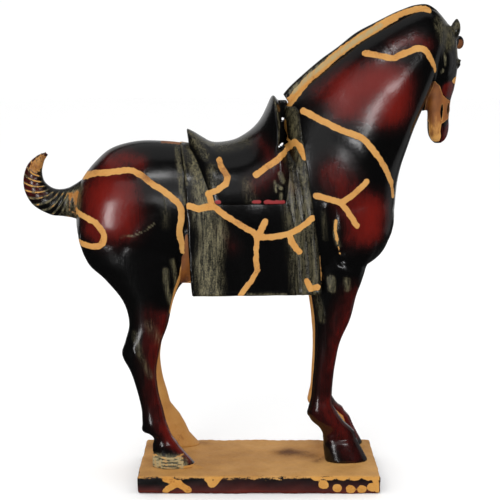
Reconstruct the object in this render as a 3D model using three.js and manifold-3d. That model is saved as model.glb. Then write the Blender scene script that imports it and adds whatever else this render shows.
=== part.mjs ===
// A tomb horse in lacquered earthenware, after the Tang dynasty type: a saddled stallion with an arched neck and
// its head turned to its left, standing square on a slab plinth.
// Millimetres, +Z up. The origin is the middle of the plinth's underside and the horse looks along +X.
import * as THREE from "three";
import { mergeVertices } from "three/addons/utils/BufferGeometryUtils.js";
import Module from "manifold-3d";

const wasm = await Module();
wasm.setup();

// Driving dimensions
const horseHeight = 469; // soles to the top of the crest
const horseTurn = THREE.MathUtils.degToRad(4); // the horse stands a little askew on its slab
const horseSetBack = 13.5; // from the slab's middle line towards the horse's left
const headTurn = THREE.MathUtils.degToRad(50); // the head looks to the horse's left
const plinthThickness = 18.7;
const plinthEndMargin = 8.5; // slab beyond the heels of the hind hooves and the toes of the fore hooves
const plinthWidth = 130;
const plinthChamfer = 2; // the slab's softened edges
const standingGap = 0.3; // between the soles and the slab
const clothThickness = 5; // the saddle cloth where it hangs clear of the belly
const clothStandProud = 2.5; // how far the cloth stands out from the withers
const maneHalfWidth = 5;
const tailRibDepth = 0.9;

// The figure's stations are written for a horse of this height, and scale with horseHeight
const drawnHeight = 469;
const unit = horseHeight / drawnHeight;

// A station is a chord across the side view, from point a to point b, with the half width there:
// [a.x, a.z, b.x, b.z, half width, middle y]. x runs forward, z up from the soles, y to the horse's left.

// Back and crest are a, belly, breast and throat are b. At the withers the chords fan round into the neck,
// which bends to the left as it rises
const bodyStations = [
  [-188, 281, -188, 243, 10, 0],
  [-181, 295, -184, 224, 30, 0],
  [-168, 310, -172, 207, 42, 0],
  [-150, 324, -152, 192, 48, 0],
  [-124, 331, -124, 186, 50, 0],
  [-97, 331, -97, 184, 48, 0],
  [-72, 328, -72, 184, 46, 0],
  [-40, 321, -40, 180, 49, 0],
  [-5, 318, 0, 177, 51, 0],
  [18, 321, 38, 178, 51, 0],
  [25, 331, 68, 180, 50.5, 0],
  [26, 343, 92, 184, 49.5, 0],
  [26, 355, 112, 194, 48, 0],
  [28, 366, 128, 214, 46.5, 0],
  [34, 375, 137, 234, 44.5, 0],
  [43, 384, 140.5, 258, 41.5, 0],
  [55, 394, 143, 285, 37.5, 0],
  [70, 406, 147, 304, 33.5, 0],
  [87, 419, 153, 322, 30.5, 0],
  [104, 432, 160, 342, 28, 0],
  [122, 442.5, 167, 358, 26, 1.5],
  [139.5, 452, 174, 374, 24, 3.5],
  [156, 460, 182, 394, 22, 6],
  [171, 465.5, 187, 410, 20, 9],
  [182.5, 463.2, 190, 421, 17.5, 12],
  [190, 457.7, 193, 430, 14, 15],
  [197, 448.8, 198, 438, 7, 18],
];
const neckBegins = 0.44; // share of the stations behind the withers
const crestNarrowing = 0.24; // the neck is slimmer at the crest than at the throat

// The breast, as upright sections from under the saddle to its point
const breastStations = [
  [30, 300, 30, 180, 44, 0],
  [55, 312, 55, 180, 48.5, 0],
  [75, 316, 75, 181, 49, 0],
  [93, 315, 93, 185, 47.5, 0],
  [108, 308, 108, 192, 44.5, 0],
  [121, 296, 121, 204, 39, 0],
  [131, 283, 130, 217, 31, 0],
  [138, 268, 136.5, 232, 20, 0],
  [140.5, 256, 140, 247, 6, 0],
];

// The hogged mane stands on the crest and is cut square above the withers
const maneStations = [
  [25, 378, 35, 363, 1, 0],
  [32, 386, 44, 370, 1, 0],
  [44, 397, 54, 383, 1, 0],
  [63, 413, 72, 400, 1, 0],
  [81, 426, 89, 413, 1, 0],
  [99, 440, 106, 427, 1, 0],
  [118, 450, 125, 437, 0.95, 1.5],
  [136, 459, 141, 447, 0.9, 3],
  [148, 464, 152, 453, 0.8, 4.5],
  [160, 468, 162, 456, 0.75, 6.5],
  [173, 469, 172, 458, 0.65, 9],
  [182.5, 464.5, 180, 455, 0.5, 11.5],
  [189, 459, 185, 450, 0.35, 14],
];

// The head hangs from the poll: x is towards the face, z is up, a is the brow and nose, b the jaw
const headStations = [
  [2, 2, -8, 2, 6, 0],
  [8, -4, -15, -4, 11.5, 0],
  [14, -14, -21, -14, 14.5, 0],
  [17, -26, -26, -26, 15.7, 0],
  [18.5, -40, -28, -40, 16.3, 0],
  [17.5, -51.5, -26, -51.5, 15, 0],
  [16.5, -59, -23.5, -59, 13.7, 0],
  [15, -66, -22, -66, 12.6, 0],
  [11.8, -73, -21.5, -73, 11.3, 0],
  [8.6, -81, -21.5, -81, 10.6, 0],
  [6.5, -94, -20.5, -94, 10.1, 0],
  [6.8, -104, -20, -104, 10.3, 0],
  [5.5, -112, -18.5, -112, 9.4, 0],
  [2, -118, -14.5, -118, 6.8, 0],
  [-3, -121.5, -10.5, -121.5, 3, 0],
];
const pollPlace = [193, 20, 448];

// Back of the leg is a, front is b. The near legs are drawn, on the horse's right, and the far ones mirror them
const hindLegStations = [
  [-164, 284, -98, 284, 15, -23],
  [-182, 240, -80, 245, 21.5, -25],
  [-175.5, 211, -76, 219, 22, -25.5],
  [-157.5, 193, -79, 197, 19.5, -28],
  [-140, 171, -89, 172, 16.5, -30.5],
  [-134, 149, -95, 147, 13.5, -33],
  [-138, 131, -101, 131, 12.5, -34.5],
  [-141.5, 117, -104.5, 117, 12, -36],
  [-133, 99, -107, 99, 10.5, -36.5],
  [-127, 80, -105, 78, 9.5, -37],
  [-124, 62, -100, 60, 9.5, -37],
  [-123, 42, -95, 44, 11.5, -38],
  [-111.5, 30, -87, 30, 10.5, -38],
  [-112, 19, -80, 19, 12.5, -38],
  [-113, 0, -66, 0, 15.5, -38],
];
const foreLegStations = [
  [68, 268, 120, 268, 12, -24],
  [61, 236, 127, 236, 18, -25],
  [54, 206, 116, 206, 18.5, -27],
  [52, 187, 103, 187, 16.5, -28],
  [52.5, 171, 98, 173, 14.5, -28],
  [55.5, 149, 92, 149, 12.5, -28],
  [56, 126, 84, 126, 11, -28],
  [56, 105, 79.5, 105, 10.5, -28],
  [55, 86, 76, 86, 9.5, -28],
  [53.5, 69, 75.5, 67, 9, -28],
  [50.5, 53, 78.5, 58, 11.5, -28],
  [53, 43, 87, 42, 12, -28],
  [61.5, 34, 93, 33, 11, -28],
  [65.5, 26, 97.5, 26, 11, -28],
  [65.5, 18, 101.5, 18, 13, -29],
  [67, 0, 112, 0, 15.5, -31],
];
// The far legs stand a little further forward: [at the top, added by the sole]
const farHindStep = { back: [5, 2], front: [3, 3] };
const farForeStep = { back: [3, 5], front: [3, 1] };
const stepBegins = 160; // height above the soles from which the added step grows

// Inner side of the curl is a, outer side is b
const tailStations = [
  [-168, 300, -176, 242, 11, 0],
  [-187, 288, -190, 248, 13, 0],
  [-195, 284, -200, 254, 12.5, 0],
  [-205, 282, -213, 256, 12, 0],
  [-213, 286.5, -230, 264, 11, 0],
  [-218, 292.5, -238.5, 278, 10, 0],
  [-220, 300, -240, 295, 8.5, 0],
  [-218.5, 309, -233, 310, 6.5, 0],
  [-216.5, 316, -222, 318, 3.5, 0],
  [-215.5, 318.5, -216.5, 319.5, 1, 0],
];
const tailRibs = 12;

// Cantle, seat and pommel are a; b is buried in the barrel
const saddleStations = [
  [-74, 344, -20, 200, 27, 0],
  [-66, 340, -16, 200, 42, 0],
  [-57, 334.5, -13, 200, 50, 0],
  [-48, 330, -10, 200, 55, 0],
  [-36, 330, -7, 200, 57, 0],
  [-23, 333, -3, 200, 58, 0],
  [-11, 340, 2, 200, 58, 0],
  [-3, 347, 5, 200, 57.5, 0],
  [3, 355, 8, 200, 56.5, 0],
  [8, 365, 11, 200, 54, 0],
  [12, 374, 13.5, 200, 50, 0],
  [15, 377, 16, 200, 46, 0],
  [20, 371, 20, 200, 43, 0],
];
const saddleSkirt = 271; // height of the saddle's lower edge above the soles

// The cloth's outline in the side view, from the croup down its rear edge and up its front edge to the withers
const clothOutline = [
  [-83, 345],
  [-77.5, 306],
  [-76, 276],
  [-74.5, 235],
  [-72, 193],
  [-70.5, 176],
  [60, 176],
  [57.5, 213],
  [54.5, 240],
  [49.5, 275],
  [43, 325],
  [39, 362],
  [36, 366],
  [24, 366],
];
const clothHem = 178.6; // height of its lower edge above the soles
const clothWidest = 251; // below this height the cloth hangs straight
const clothHalfWidth = 54;
const pleatDepth = 1.3; // upright folds along its front edge
const pleatWidth = 9;
const pleatsFrom = 26;

// The tall slot between the pommel's board and the withers
const slotOutline = [
  [16.5, 321],
  [19.5, 350],
  [21.4, 366],
  [21.4, 400],
  [24.5, 400],
  [24.8, 347],
  [28, 335],
  [24, 322],
];

// A CatmullRomCurve3 through one triple of each station's values, one station per step
function track(stations, pick) {
  const points = stations.map((s) => new THREE.Vector3(...pick(s)));
  return new THREE.CatmullRomCurve3(points, false, "catmullrom", 0.5);
}

/**
 * A closed skin through chord stations.
 * around, along: facets round the section and along the form; fullness: the section's superellipse power;
 * narrowing(t): how much slimmer the section is at a than at b; grow: thickness added all round;
 * ripple(t, angle): added to the section's radius, in drawn units.
 */
function loft(stations, { around, along, fullness = 2, narrowing = () => 0, grow = 0, ripple = () => 0 }) {
  const trackA = track(stations, (s) => [s[0], 0, s[1]]);
  const trackB = track(stations, (s) => [s[2], 0, s[3]]);
  const trackW = track(stations, (s) => [s[4], s[5], 0]);
  const positions = [];
  const power = (v) => Math.sign(v) * Math.abs(v) ** (2 / fullness);
  for (let i = 0; i <= along; i++) {
    const t = i / along;
    const a = trackA.getPoint(t);
    const b = trackB.getPoint(t);
    const { x: halfWidth, y: middle } = trackW.getPoint(t);
    const centre = a.clone().add(b).multiplyScalar(0.5);
    const half = a.clone().sub(b).multiplyScalar(0.5);
    const reach = half.length();
    for (let k = 0; k < around; k++) {
      const angle = (2 * Math.PI * k) / around;
      const u = power(Math.cos(angle));
      const v = power(Math.sin(angle));
      const extra = grow + ripple(t, angle);
      const along_ = u * (1 + extra / reach);
      const across = v * (halfWidth + extra) * (1 - narrowing(t) * u);
      positions.push(
        (centre.x + half.x * along_) * unit,
        (middle + across) * unit,
        (centre.z + half.z * along_) * unit,
      );
    }
  }
  return closeRings(positions, around, along + 1);
}

// Joins rings of points into a closed skin with a fan at each end, facing outwards
function closeRings(positions, around, rings) {
  const index = [];
  const centreOf = (ring) => {
    const sum = [0, 0, 0];
    for (let k = 0; k < around; k++)
      for (let axis = 0; axis < 3; axis++) sum[axis] += positions[3 * (ring * around + k) + axis] / around;
    positions.push(...sum);
    return positions.length / 3 - 1;
  };
  for (let i = 0; i + 1 < rings; i++)
    for (let k = 0; k < around; k++) {
      const next = (k + 1) % around;
      const [p, q] = [i * around + k, i * around + next];
      const [r, s] = [p + around, q + around];
      index.push(p, r, q, q, r, s);
    }
  const first = centreOf(0);
  const last = centreOf(rings - 1);
  const lastRing = (rings - 1) * around;
  for (let k = 0; k < around; k++) {
    const next = (k + 1) % around;
    index.push(first, k, next, last, lastRing + next, lastRing + k);
  }
  const geometry = new THREE.BufferGeometry();
  geometry.setAttribute("position", new THREE.Float32BufferAttribute(positions, 3));
  geometry.setIndex(index);
  return geometry;
}

// A closed geometry as a solid that can be joined and cut; one drawn inside out is turned
function solid(geometry) {
  const bare = new THREE.BufferGeometry();
  const flat = geometry.index ? geometry.toNonIndexed() : geometry;
  bare.setAttribute("position", flat.getAttribute("position"));
  const merged = mergeVertices(bare, 1e-4);
  const make = (triVerts) =>
    new wasm.Manifold(
      new wasm.Mesh({ numProp: 3, vertProperties: merged.attributes.position.array, triVerts }),
    );
  const made = make(new Uint32Array(merged.index.array));
  return made.volume() > 0 ? made : make(new Uint32Array(merged.index.array).reverse());
}

function toGeometry(manifold) {
  const mesh = manifold.getMesh();
  const geometry = new THREE.BufferGeometry();
  geometry.setAttribute("position", new THREE.BufferAttribute(mesh.vertProperties, 3));
  geometry.setIndex(new THREE.BufferAttribute(mesh.triVerts, 1));
  geometry.computeVertexNormals();
  return geometry;
}

// A side-view outline [x, z] run through the whole width of the horse
function sideCut(outline, halfWidth) {
  const shape = new THREE.Shape(outline.map(([x, z]) => new THREE.Vector2(x * unit, z * unit)));
  const geometry = new THREE.ExtrudeGeometry(shape, { depth: 2 * halfWidth * unit, bevelEnabled: false });
  geometry.rotateX(Math.PI / 2);
  geometry.translate(0, halfWidth * unit, 0);
  return solid(geometry);
}

function join(...solids) {
  return solids.reduce((sum, each) => sum.add(each));
}

function farLeg(stations, step) {
  const ahead = ([top, sole], height) => top + sole * Math.max(0, 1 - height / stepBegins);
  return stations.map(([ax, az, bx, bz, w, y]) => [
    ax + ahead(step.back, az),
    az,
    bx + ahead(step.front, bz),
    bz,
    w,
    -y,
  ]);
}

// Barrel and neck, or a run of them between two stations
function body({ from = 0, to = bodyStations.length - 1, around, along, grow = 0 }) {
  const last = bodyStations.length - 1;
  const narrowing = (t) => {
    const share = (from + t * (to - from)) / last;
    return crestNarrowing * THREE.MathUtils.smoothstep(share, neckBegins, 0.75);
  };
  return solid(loft(bodyStations.slice(from, to + 1), { around, along, narrowing, grow }));
}

// Over the back like the barrel, then straight down, with upright folds along the front
function hangingForm() {
  const around = 24;
  const places = [];
  for (let x = -90; x < pleatsFrom; x += 19.3) places.push(x);
  for (let x = pleatsFrom; x <= 64; x += pleatWidth / 3) places.push(x);
  const top = track(bodyStations.slice(5, 11), (s) => [s[0], 0, s[1]]);
  const ridge = top.getPoints(60);
  const positions = [];
  for (const x of places) {
    const over = (ridge.find((point) => point.x >= x) ?? ridge.at(-1)).z + 1;
    const folded = Math.max(0, x - pleatsFrom) / pleatWidth;
    const fold = x < pleatsFrom ? 0 : pleatDepth * Math.abs(Math.sin(Math.PI * folded));
    for (let k = 0; k < around; k++) {
      const angle = (2 * Math.PI * k) / around;
      const side = Math.sign(Math.sin(angle).toFixed(6));
      const lean = Math.abs(Math.tan(angle));
      const hanging = Math.cos(angle) < -1e-6;
      const out = hanging ? side * Math.min(1, lean) : Math.sin(angle);
      const drop = hanging ? Math.min(1, 1 / Math.max(lean, 1e-6)) : 0;
      const down = clothWidest + (clothHem - clothWidest) * drop;
      const z = hanging ? down : clothWidest + (over - clothWidest) * Math.max(0, Math.cos(angle));
      positions.push(x * unit, out * (clothHalfWidth - pleatDepth + fold) * unit, z * unit);
    }
  }
  return solid(closeRings(positions, around, places.length));
}

function saddleCloth() {
  const withers = body({ from: 9, to: 15, around: 24, along: 10, grow: clothStandProud });
  const inner = 2 * (clothHalfWidth - pleatDepth - clothThickness) * unit;
  const under = new THREE.BoxGeometry(400 * unit, inner, 2 * (clothWidest - clothHem) * unit);
  under.translate(0, 0, clothHem * unit);
  const shell = hangingForm().subtract(solid(under));
  return join(shell, withers).intersect(sideCut(clothOutline, 80));
}

function saddle() {
  const whole = solid(loft(saddleStations, { around: 20, along: 18 }));
  const above = new THREE.BoxGeometry(400 * unit, 400 * unit, 200 * unit);
  above.translate(0, 0, (saddleSkirt + 100) * unit);
  return whole.intersect(solid(above));
}

// Head, ears, eyes and the knotted forelock, about the poll
function head() {
  const parts = [solid(loft(headStations, { around: 18, along: 20, fullness: 2.1 }))];
  const cuts = [];
  for (const side of [-1, 1]) {
    const ear = [
      [-1, -14, 9, -12, 4, 10 * side],
      [0, -6, 9.5, -5, 4.6, 11 * side],
      [3.5, 1, 9.2, 2, 3.2, 11.4 * side],
      [7.4, 6.8, 8.4, 7, 0.6, 11.6 * side],
    ];
    parts.push(solid(loft(ear, { around: 8, along: 6 })));
    parts.push(blob([9, 12 * side, -39.5], [4.4, 4.3, 4.6]));
    cuts.push(blob([4.5, 9.9 * side, -86], [2.6, 2, 4.6]));
    const mouth = new THREE.BoxGeometry(1.3 * unit, 5 * unit, 17 * unit);
    mouth.rotateY(-0.08);
    mouth.translate(-5.5 * unit, 11.8 * side * unit, -92.5 * unit);
    cuts.push(solid(mouth));
  }
  parts.push(blob([24, -3, -17], [13, 4.5, 7]));
  const matrix = new THREE.Matrix4()
    .makeTranslation(...pollPlace.map((v) => v * unit))
    .multiply(new THREE.Matrix4().makeRotationZ(headTurn));
  const geometry = toGeometry(join(...parts).subtract(join(...cuts)));
  geometry.applyMatrix4(matrix);
  return solid(geometry);
}

// An egg at a place in drawn units, with its three half sizes
function blob(place, [rx, ry, rz]) {
  const geometry = new THREE.SphereGeometry(1, 10, 8);
  geometry.scale(rx * unit, ry * unit, rz * unit);
  geometry.translate(...place.map((v) => v * unit));
  return solid(geometry);
}

function leg(stations) {
  return solid(loft(stations, { around: 12, along: 20, fullness: 2.2 }));
}

function tail() {
  const fade = (t) => Math.min(1, 5 * t, 5 * (1 - t));
  const ripple = (t, angle) => tailRibDepth * fade(t) * Math.cos(2 * Math.PI * tailRibs * t + angle);
  return solid(loft(tailStations, { around: 10, along: 4 * tailRibs, ripple }));
}

function mane() {
  const stations = maneStations.map((s) => [...s.slice(0, 4), s[4] * maneHalfWidth, s[5]]);
  return solid(loft(stations, { around: 8, along: 15, fullness: 4 }));
}

function horse() {
  const animal = join(
    body({ around: 24, along: 50 }),
    solid(loft(breastStations, { around: 24, along: 16 })),
    leg(hindLegStations),
    leg(farLeg(hindLegStations, farHindStep)),
    leg(foreLegStations),
    leg(farLeg(foreLegStations, farForeStep)),
    tail(),
    mane(),
    head(),
  );
  return join(animal, saddleCloth(), saddle()).subtract(sideCut(slotOutline, 60));
}

function plinth() {
  const hoofSpan = (foreLegStations.at(-1)[2] - hindLegStations.at(-1)[0]) * unit;
  const length = hoofSpan + 2 * plinthEndMargin;
  const [x, y] = [length / 2 - plinthChamfer, plinthWidth / 2 - plinthChamfer];
  const outline = new THREE.Shape([
    new THREE.Vector2(-x, -y),
    new THREE.Vector2(x, -y),
    new THREE.Vector2(x, y),
    new THREE.Vector2(-x, y),
  ]);
  const geometry = new THREE.ExtrudeGeometry(outline, {
    depth: plinthThickness - 2 * plinthChamfer,
    bevelThickness: plinthChamfer,
    bevelSize: plinthChamfer,
    bevelSegments: 2,
  });
  geometry.translate(0, 0, plinthChamfer);
  return geometry;
}

const lacquer = new THREE.MeshStandardMaterial({ color: 0x2a0f0f, roughness: 0.3, metalness: 0 });
const clay = new THREE.MeshStandardMaterial({ color: 0xb98a4c, roughness: 0.85, metalness: 0 });

const figure = new THREE.Group();
const plinthMesh = new THREE.Mesh(plinth(), clay);
plinthMesh.name = "plinth";
figure.add(plinthMesh);

const stand = new THREE.Group();
stand.position.set(0, horseSetBack, plinthThickness + standingGap);
stand.rotation.z = horseTurn;
const horseMesh = new THREE.Mesh(toGeometry(horse()), lacquer);
horseMesh.name = "horse";
stand.add(horseMesh);
figure.add(stand);

export default figure;
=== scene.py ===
"""A saddled tomb horse in lacquered earthenware on its slab, dressed for its picture.

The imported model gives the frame. Every visible piece is modelled again here, finer, about the same
stations: forms are joined as signed distances on an even grid, skinned, painted with masks and given
procedural finishes.
Drawn sizes are millimetres in the horse's own frame: x forward, y to its left, z up from the soles.
"""
import logging
import math
from dataclasses import dataclass, field
from enum import Enum

import bpy
import numpy as np
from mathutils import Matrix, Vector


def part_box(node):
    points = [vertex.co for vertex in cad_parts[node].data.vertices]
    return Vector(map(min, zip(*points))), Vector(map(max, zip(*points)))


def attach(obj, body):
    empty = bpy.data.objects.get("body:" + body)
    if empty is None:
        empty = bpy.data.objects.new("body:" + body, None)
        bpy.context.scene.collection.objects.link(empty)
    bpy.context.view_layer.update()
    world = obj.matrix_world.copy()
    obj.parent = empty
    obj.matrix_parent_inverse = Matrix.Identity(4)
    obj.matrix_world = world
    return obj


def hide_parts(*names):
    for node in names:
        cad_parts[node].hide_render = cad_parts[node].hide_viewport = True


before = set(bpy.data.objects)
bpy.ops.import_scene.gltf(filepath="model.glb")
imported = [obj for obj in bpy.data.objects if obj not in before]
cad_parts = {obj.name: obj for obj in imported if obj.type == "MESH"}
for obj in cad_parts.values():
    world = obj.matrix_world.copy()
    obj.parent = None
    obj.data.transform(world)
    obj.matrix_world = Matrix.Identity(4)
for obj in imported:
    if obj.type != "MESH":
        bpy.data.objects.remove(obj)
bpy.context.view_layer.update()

MM = 0.001  # a millimetre in metres
FAR_AWAY = 60.0  # stands for any point well outside the clay
NO_PAINT = 9.0  # what a line's mask says at the edge of the line
OUTSIDE = 90.0  # past the horse's sides
HOLE_RIM = 0.4  # how far a hole's rim is eased

Array = np.ndarray
Row = tuple[float, ...]
Rows = tuple[Row, ...]
Place = tuple[float, float, float]
Bounds = tuple[Place, Place]
Material = bpy.types.Material
Mesh = bpy.types.Mesh
Object = bpy.types.Object
Socket = bpy.types.NodeSocket
Sockets = dict[str | int, object]

log = logging.getLogger("tomb_horse")


class Side(Enum):
    """Which side of the horse a mark is on. The near side is its right, which the picture shows."""

    NEAR = -1
    FAR = 1
    BOTH = 0


class Slot(Enum):
    """The record's material slots."""

    LACQUER = "lacquered_earthenware"
    SLIP = "slipped_earthenware"


def smooth(low: float, high: float, value: Array) -> Array:
    """A soft step from 0 at low to 1 at high."""
    share = np.clip((value - low) / (high - low), 0, 1)
    return share * share * (3 - 2 * share)


def curve_through(rows: Rows, steps: int) -> Array:
    """Runs a smooth curve through rows of values.

    Args:
        rows: The values that the curve passes through.
        steps: Steps between each row and the next.

    Returns:
        One row for each step, the last one included.
    """
    given = np.asarray(rows, float)
    padded = np.vstack([2 * given[0] - given[1], given, 2 * given[-1] - given[-2]])
    t = np.linspace(0, 1, steps, endpoint=False)[:, None]
    spans = []
    for before, start, end, after in zip(padded, padded[1:], padded[2:], padded[3:]):
        leaving = (end - before) / 2
        arriving = (after - start) / 2
        square = -3 * start + 3 * end - 2 * leaving - arriving
        cube = 2 * start - 2 * end + leaving + arriving
        spans.append(start + leaving * t + square * t**2 + cube * t**3)
    return np.vstack([*spans, given[-1:]])


def path_distance(u: Array, v: Array, path: Array) -> Array:
    """How far points of a plane are from a path of straight runs.

    Args:
        u: First coordinates of the points.
        v: Second coordinates, of a shape that broadcasts with u.
        path: Points of the path, one row each.

    Returns:
        The distances.
    """
    nearest = np.full(np.broadcast_shapes(u.shape, v.shape), np.inf)
    starts = path[:-1] if len(path) > 1 else path
    ends = path[1:] if len(path) > 1 else path
    for (u0, v0), (u1, v1) in zip(starts, ends):
        du, dv = u1 - u0, v1 - v0
        run = max(du * du + dv * dv, 1e-9)
        share = np.clip(((u - u0) * du + (v - v0) * dv) / run, 0, 1)
        nearest = np.minimum(nearest, np.hypot(u - u0 - share * du, v - v0 - share * dv))
    return nearest


@dataclass(frozen=True)
class Stand:
    """Where the horse stands on its slab, and its real size."""

    turn: float = math.radians(4)
    set_back: float = 13.5
    drawn_height: float = 469.0

    def to_world(self, points: Array) -> Array:
        """Takes drawn points to the frame.

        Args:
            points: Rows of x, y, z in drawn millimetres.

        Returns:
            The same points in metres, in the shared frame.
        """
        low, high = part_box("horse")
        unit = (high.z - low.z) / self.drawn_height
        cos, sin = math.cos(self.turn), math.sin(self.turn)
        x, y, z = (points * unit).T
        return np.column_stack([x * cos - y * sin, x * sin + y * cos + self.set_back * MM, z + low.z])


STAND = Stand()


@dataclass(frozen=True)
class Grid:
    """An even grid of points.

    Attributes:
        low: The first point.
        shape: Points along x, y and z.
        step: Distance between neighbours.
    """

    low: Place
    shape: tuple[int, int, int]
    step: float

    @classmethod
    def around(cls, bounds: Bounds, step: float) -> "Grid":
        """Makes the grid that fills a box with a given step."""
        low, high = np.array(bounds)
        return cls(tuple(low), tuple(np.ceil((high - low) / step).astype(int) + 1), step)

    def window(self, bounds: Bounds, margin: float) -> tuple[slice, slice, slice]:
        """Finds the part of the grid about a box.

        Args:
            bounds: The box's lowest and highest corners.
            margin: How far past the box the window reaches.

        Returns:
            A slice for each axis.
        """
        low, high = np.array(bounds)
        first = np.floor((low - margin - self.low) / self.step).astype(int)
        last = np.ceil((high + margin - self.low) / self.step).astype(int) + 1
        return tuple(slice(max(0, a), max(0, min(n, b))) for a, b, n in zip(first, last, self.shape))

    def axes(self, window: tuple[slice, slice, slice]) -> tuple[Array, Array, Array]:
        """The coordinates in a window, each along its own axis so that they broadcast."""
        x, y, z = (start + self.step * np.arange(w.start, w.stop) for start, w in zip(self.low, window))
        return x[:, None, None], y[None, :, None], z[None, None, :]


class Form:
    """A closed form that knows how far any point is from its skin, negative inside."""

    def bounds(self) -> Bounds:
        """The form's box."""
        raise NotImplementedError

    def distance(self, x: Array, y: Array, z: Array) -> Array:
        """Distances for coordinates that broadcast together."""
        raise NotImplementedError


@dataclass(frozen=True)
class Loft(Form):
    """A form through chords drawn across the side view, with an oval section about each.

    Attributes:
        stations: Rows of a.x, a.z, b.x, b.z, half width and middle y.
        fullness: The sections' superellipse power.
        slimmer: How much slimmer the section is at a than at b.
        slims: Shares of the form's run between which that sets in.
        lean: How much slimmer it is at a than at b all along.
        grow: Thickness added all round.
    """

    stations: Rows
    fullness: float = 2.0
    slimmer: float = 0.0
    slims: tuple[float, float] = (0.44, 0.75)
    lean: float = 0.0
    grow: float = 0.0

    def rows(self) -> Array:
        """The stations, drawn out smoothly."""
        return curve_through(self.stations, 9)

    def bounds(self) -> Bounds:
        """The form's box."""
        rows = self.rows()
        xs, zs = rows[:, [0, 2]], rows[:, [1, 3]]
        wider = 1 + self.slimmer + self.lean
        low = (xs.min(), (rows[:, 5] - rows[:, 4]).min() * wider, zs.min())
        high = (xs.max(), (rows[:, 5] + rows[:, 4]).max() * wider, zs.max())
        return low, high

    def sections(self, x: Array, z: Array) -> dict[str, Array]:
        """Finds the chord that runs through each point of the side view.

        Args:
            x: Forward coordinates.
            z: Heights, of a shape that broadcasts with x.

        Returns:
            For each point: its place along the chord from -1 at b to 1 at a, the chord's half length, the
            half width, the middle, the share of the form's run, and how far past an end it lies.
        """
        rows = self.rows()
        count = len(rows)
        shape = np.broadcast_shapes(x.shape, z.shape)
        px = np.broadcast_to(x, shape).ravel().astype(float)
        pz = np.broadcast_to(z, shape).ravel().astype(float)
        along = np.full(px.size, np.inf)
        found = np.zeros((px.size, 6))
        share = np.zeros(px.size)

        def beside(row: Array) -> Array:
            """How far the points are to one side of a chord."""
            run = math.hypot(row[2] - row[0], row[3] - row[1])
            return ((px - row[0]) * (row[3] - row[1]) - (pz - row[1]) * (row[2] - row[0])) / max(run, 1e-6)

        def place(row: Array, which: Array) -> Array:
            """Where some of the points are along a chord."""
            half = (row[..., 0:2] - row[..., 2:4]) / 2
            centre = (row[..., 0:2] + row[..., 2:4]) / 2
            dot = (px[which] - centre[..., 0]) * half[..., 0] + (pz[which] - centre[..., 1]) * half[..., 1]
            return dot / np.maximum((half**2).sum(-1), 1e-9)

        start = before = beside(rows[0])
        for index in range(1, count):
            after = beside(rows[index])
            crossed = np.flatnonzero((before <= 0) != (after <= 0))
            if crossed.size:
                part = before[crossed] / (before[crossed] - after[crossed])
                row = rows[index - 1] + part[:, None] * (rows[index] - rows[index - 1])
                u = place(row, crossed)
                nearer = np.abs(u) < np.abs(along[crossed])
                chosen = crossed[nearer]
                along[chosen] = u[nearer]
                found[chosen] = row[nearer]
                share[chosen] = (index - 1 + part[nearer]) / (count - 1)
            before = after
        end = before
        middle = rows[count // 2]
        inward = [
            np.sign(
                (middle[[0, 2]].mean() - row[0]) * (row[3] - row[1])
                - (middle[[1, 3]].mean() - row[1]) * (row[2] - row[0])
            )
            for row in (rows[0], rows[-1])
        ]
        past_start = -start * inward[0]
        past_end = -end * inward[1]
        by_the_end, behind = 0.2, 1e3
        over = np.full(px.size, -FAR_AWAY)
        over = np.where(share < by_the_end, past_start, over)
        over = np.where(share > 1 - by_the_end, past_end, over)
        lost = np.flatnonzero(~np.isfinite(along))
        if lost.size:
            first = np.abs(past_start[lost]) + behind * (past_start[lost] < 0)
            last = np.abs(past_end[lost]) + behind * (past_end[lost] < 0)
            ends = np.where((first < last)[:, None], rows[0], rows[-1])
            found[lost] = ends
            along[lost] = place(ends, lost)
            share[lost] = (first >= last).astype(float)
            over[lost] = np.maximum(np.minimum(first, last) % behind, 0.01)
        half = np.hypot(found[:, 0] - found[:, 2], found[:, 1] - found[:, 3]) / 2
        values = {"along": along, "half": half, "width": found[:, 4], "middle": found[:, 5]}
        values |= {"share": share, "over": over}
        return {name: value.reshape(shape) for name, value in values.items()}

    def distance(self, x: Array, y: Array, z: Array) -> Array:
        """Distances from its skin."""
        at = self.sections(x, z)
        side = y - at["middle"]
        slim = self.lean + (self.slimmer - self.lean) * smooth(*self.slims, at["share"])
        across = side / np.maximum(at["width"] * np.maximum(1 - slim * at["along"], 0.25), 1e-3)
        power = self.fullness
        reach = (np.abs(at["along"]) ** power + np.abs(across) ** power) ** (1 / power)
        radius = np.hypot(at["along"] * at["half"], side)
        skin = radius * (1 - 1 / np.maximum(reach, 1e-4)) - self.grow
        over = at["over"] - self.grow
        return np.where(over > 0, np.hypot(np.maximum(skin, 0), over), np.maximum(skin, over))


@dataclass(frozen=True)
class Egg(Form):
    """An egg with its middle and three half sizes."""

    middle: Place
    half: Place

    def bounds(self) -> Bounds:
        """The form's box."""
        middle, half = np.array(self.middle), np.array(self.half)
        return tuple(middle - half), tuple(middle + half)

    def distance(self, x: Array, y: Array, z: Array) -> Array:
        """Distances from its skin."""
        dx, dy, dz = x - self.middle[0], y - self.middle[1], z - self.middle[2]
        reach = np.sqrt((dx / self.half[0]) ** 2 + (dy / self.half[1]) ** 2 + (dz / self.half[2]) ** 2)
        radius = np.sqrt(dx**2 + dy**2 + dz**2)
        return np.where(reach > 1e-3, radius * (1 - 1 / np.maximum(reach, 1e-3)), -min(self.half))


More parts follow.
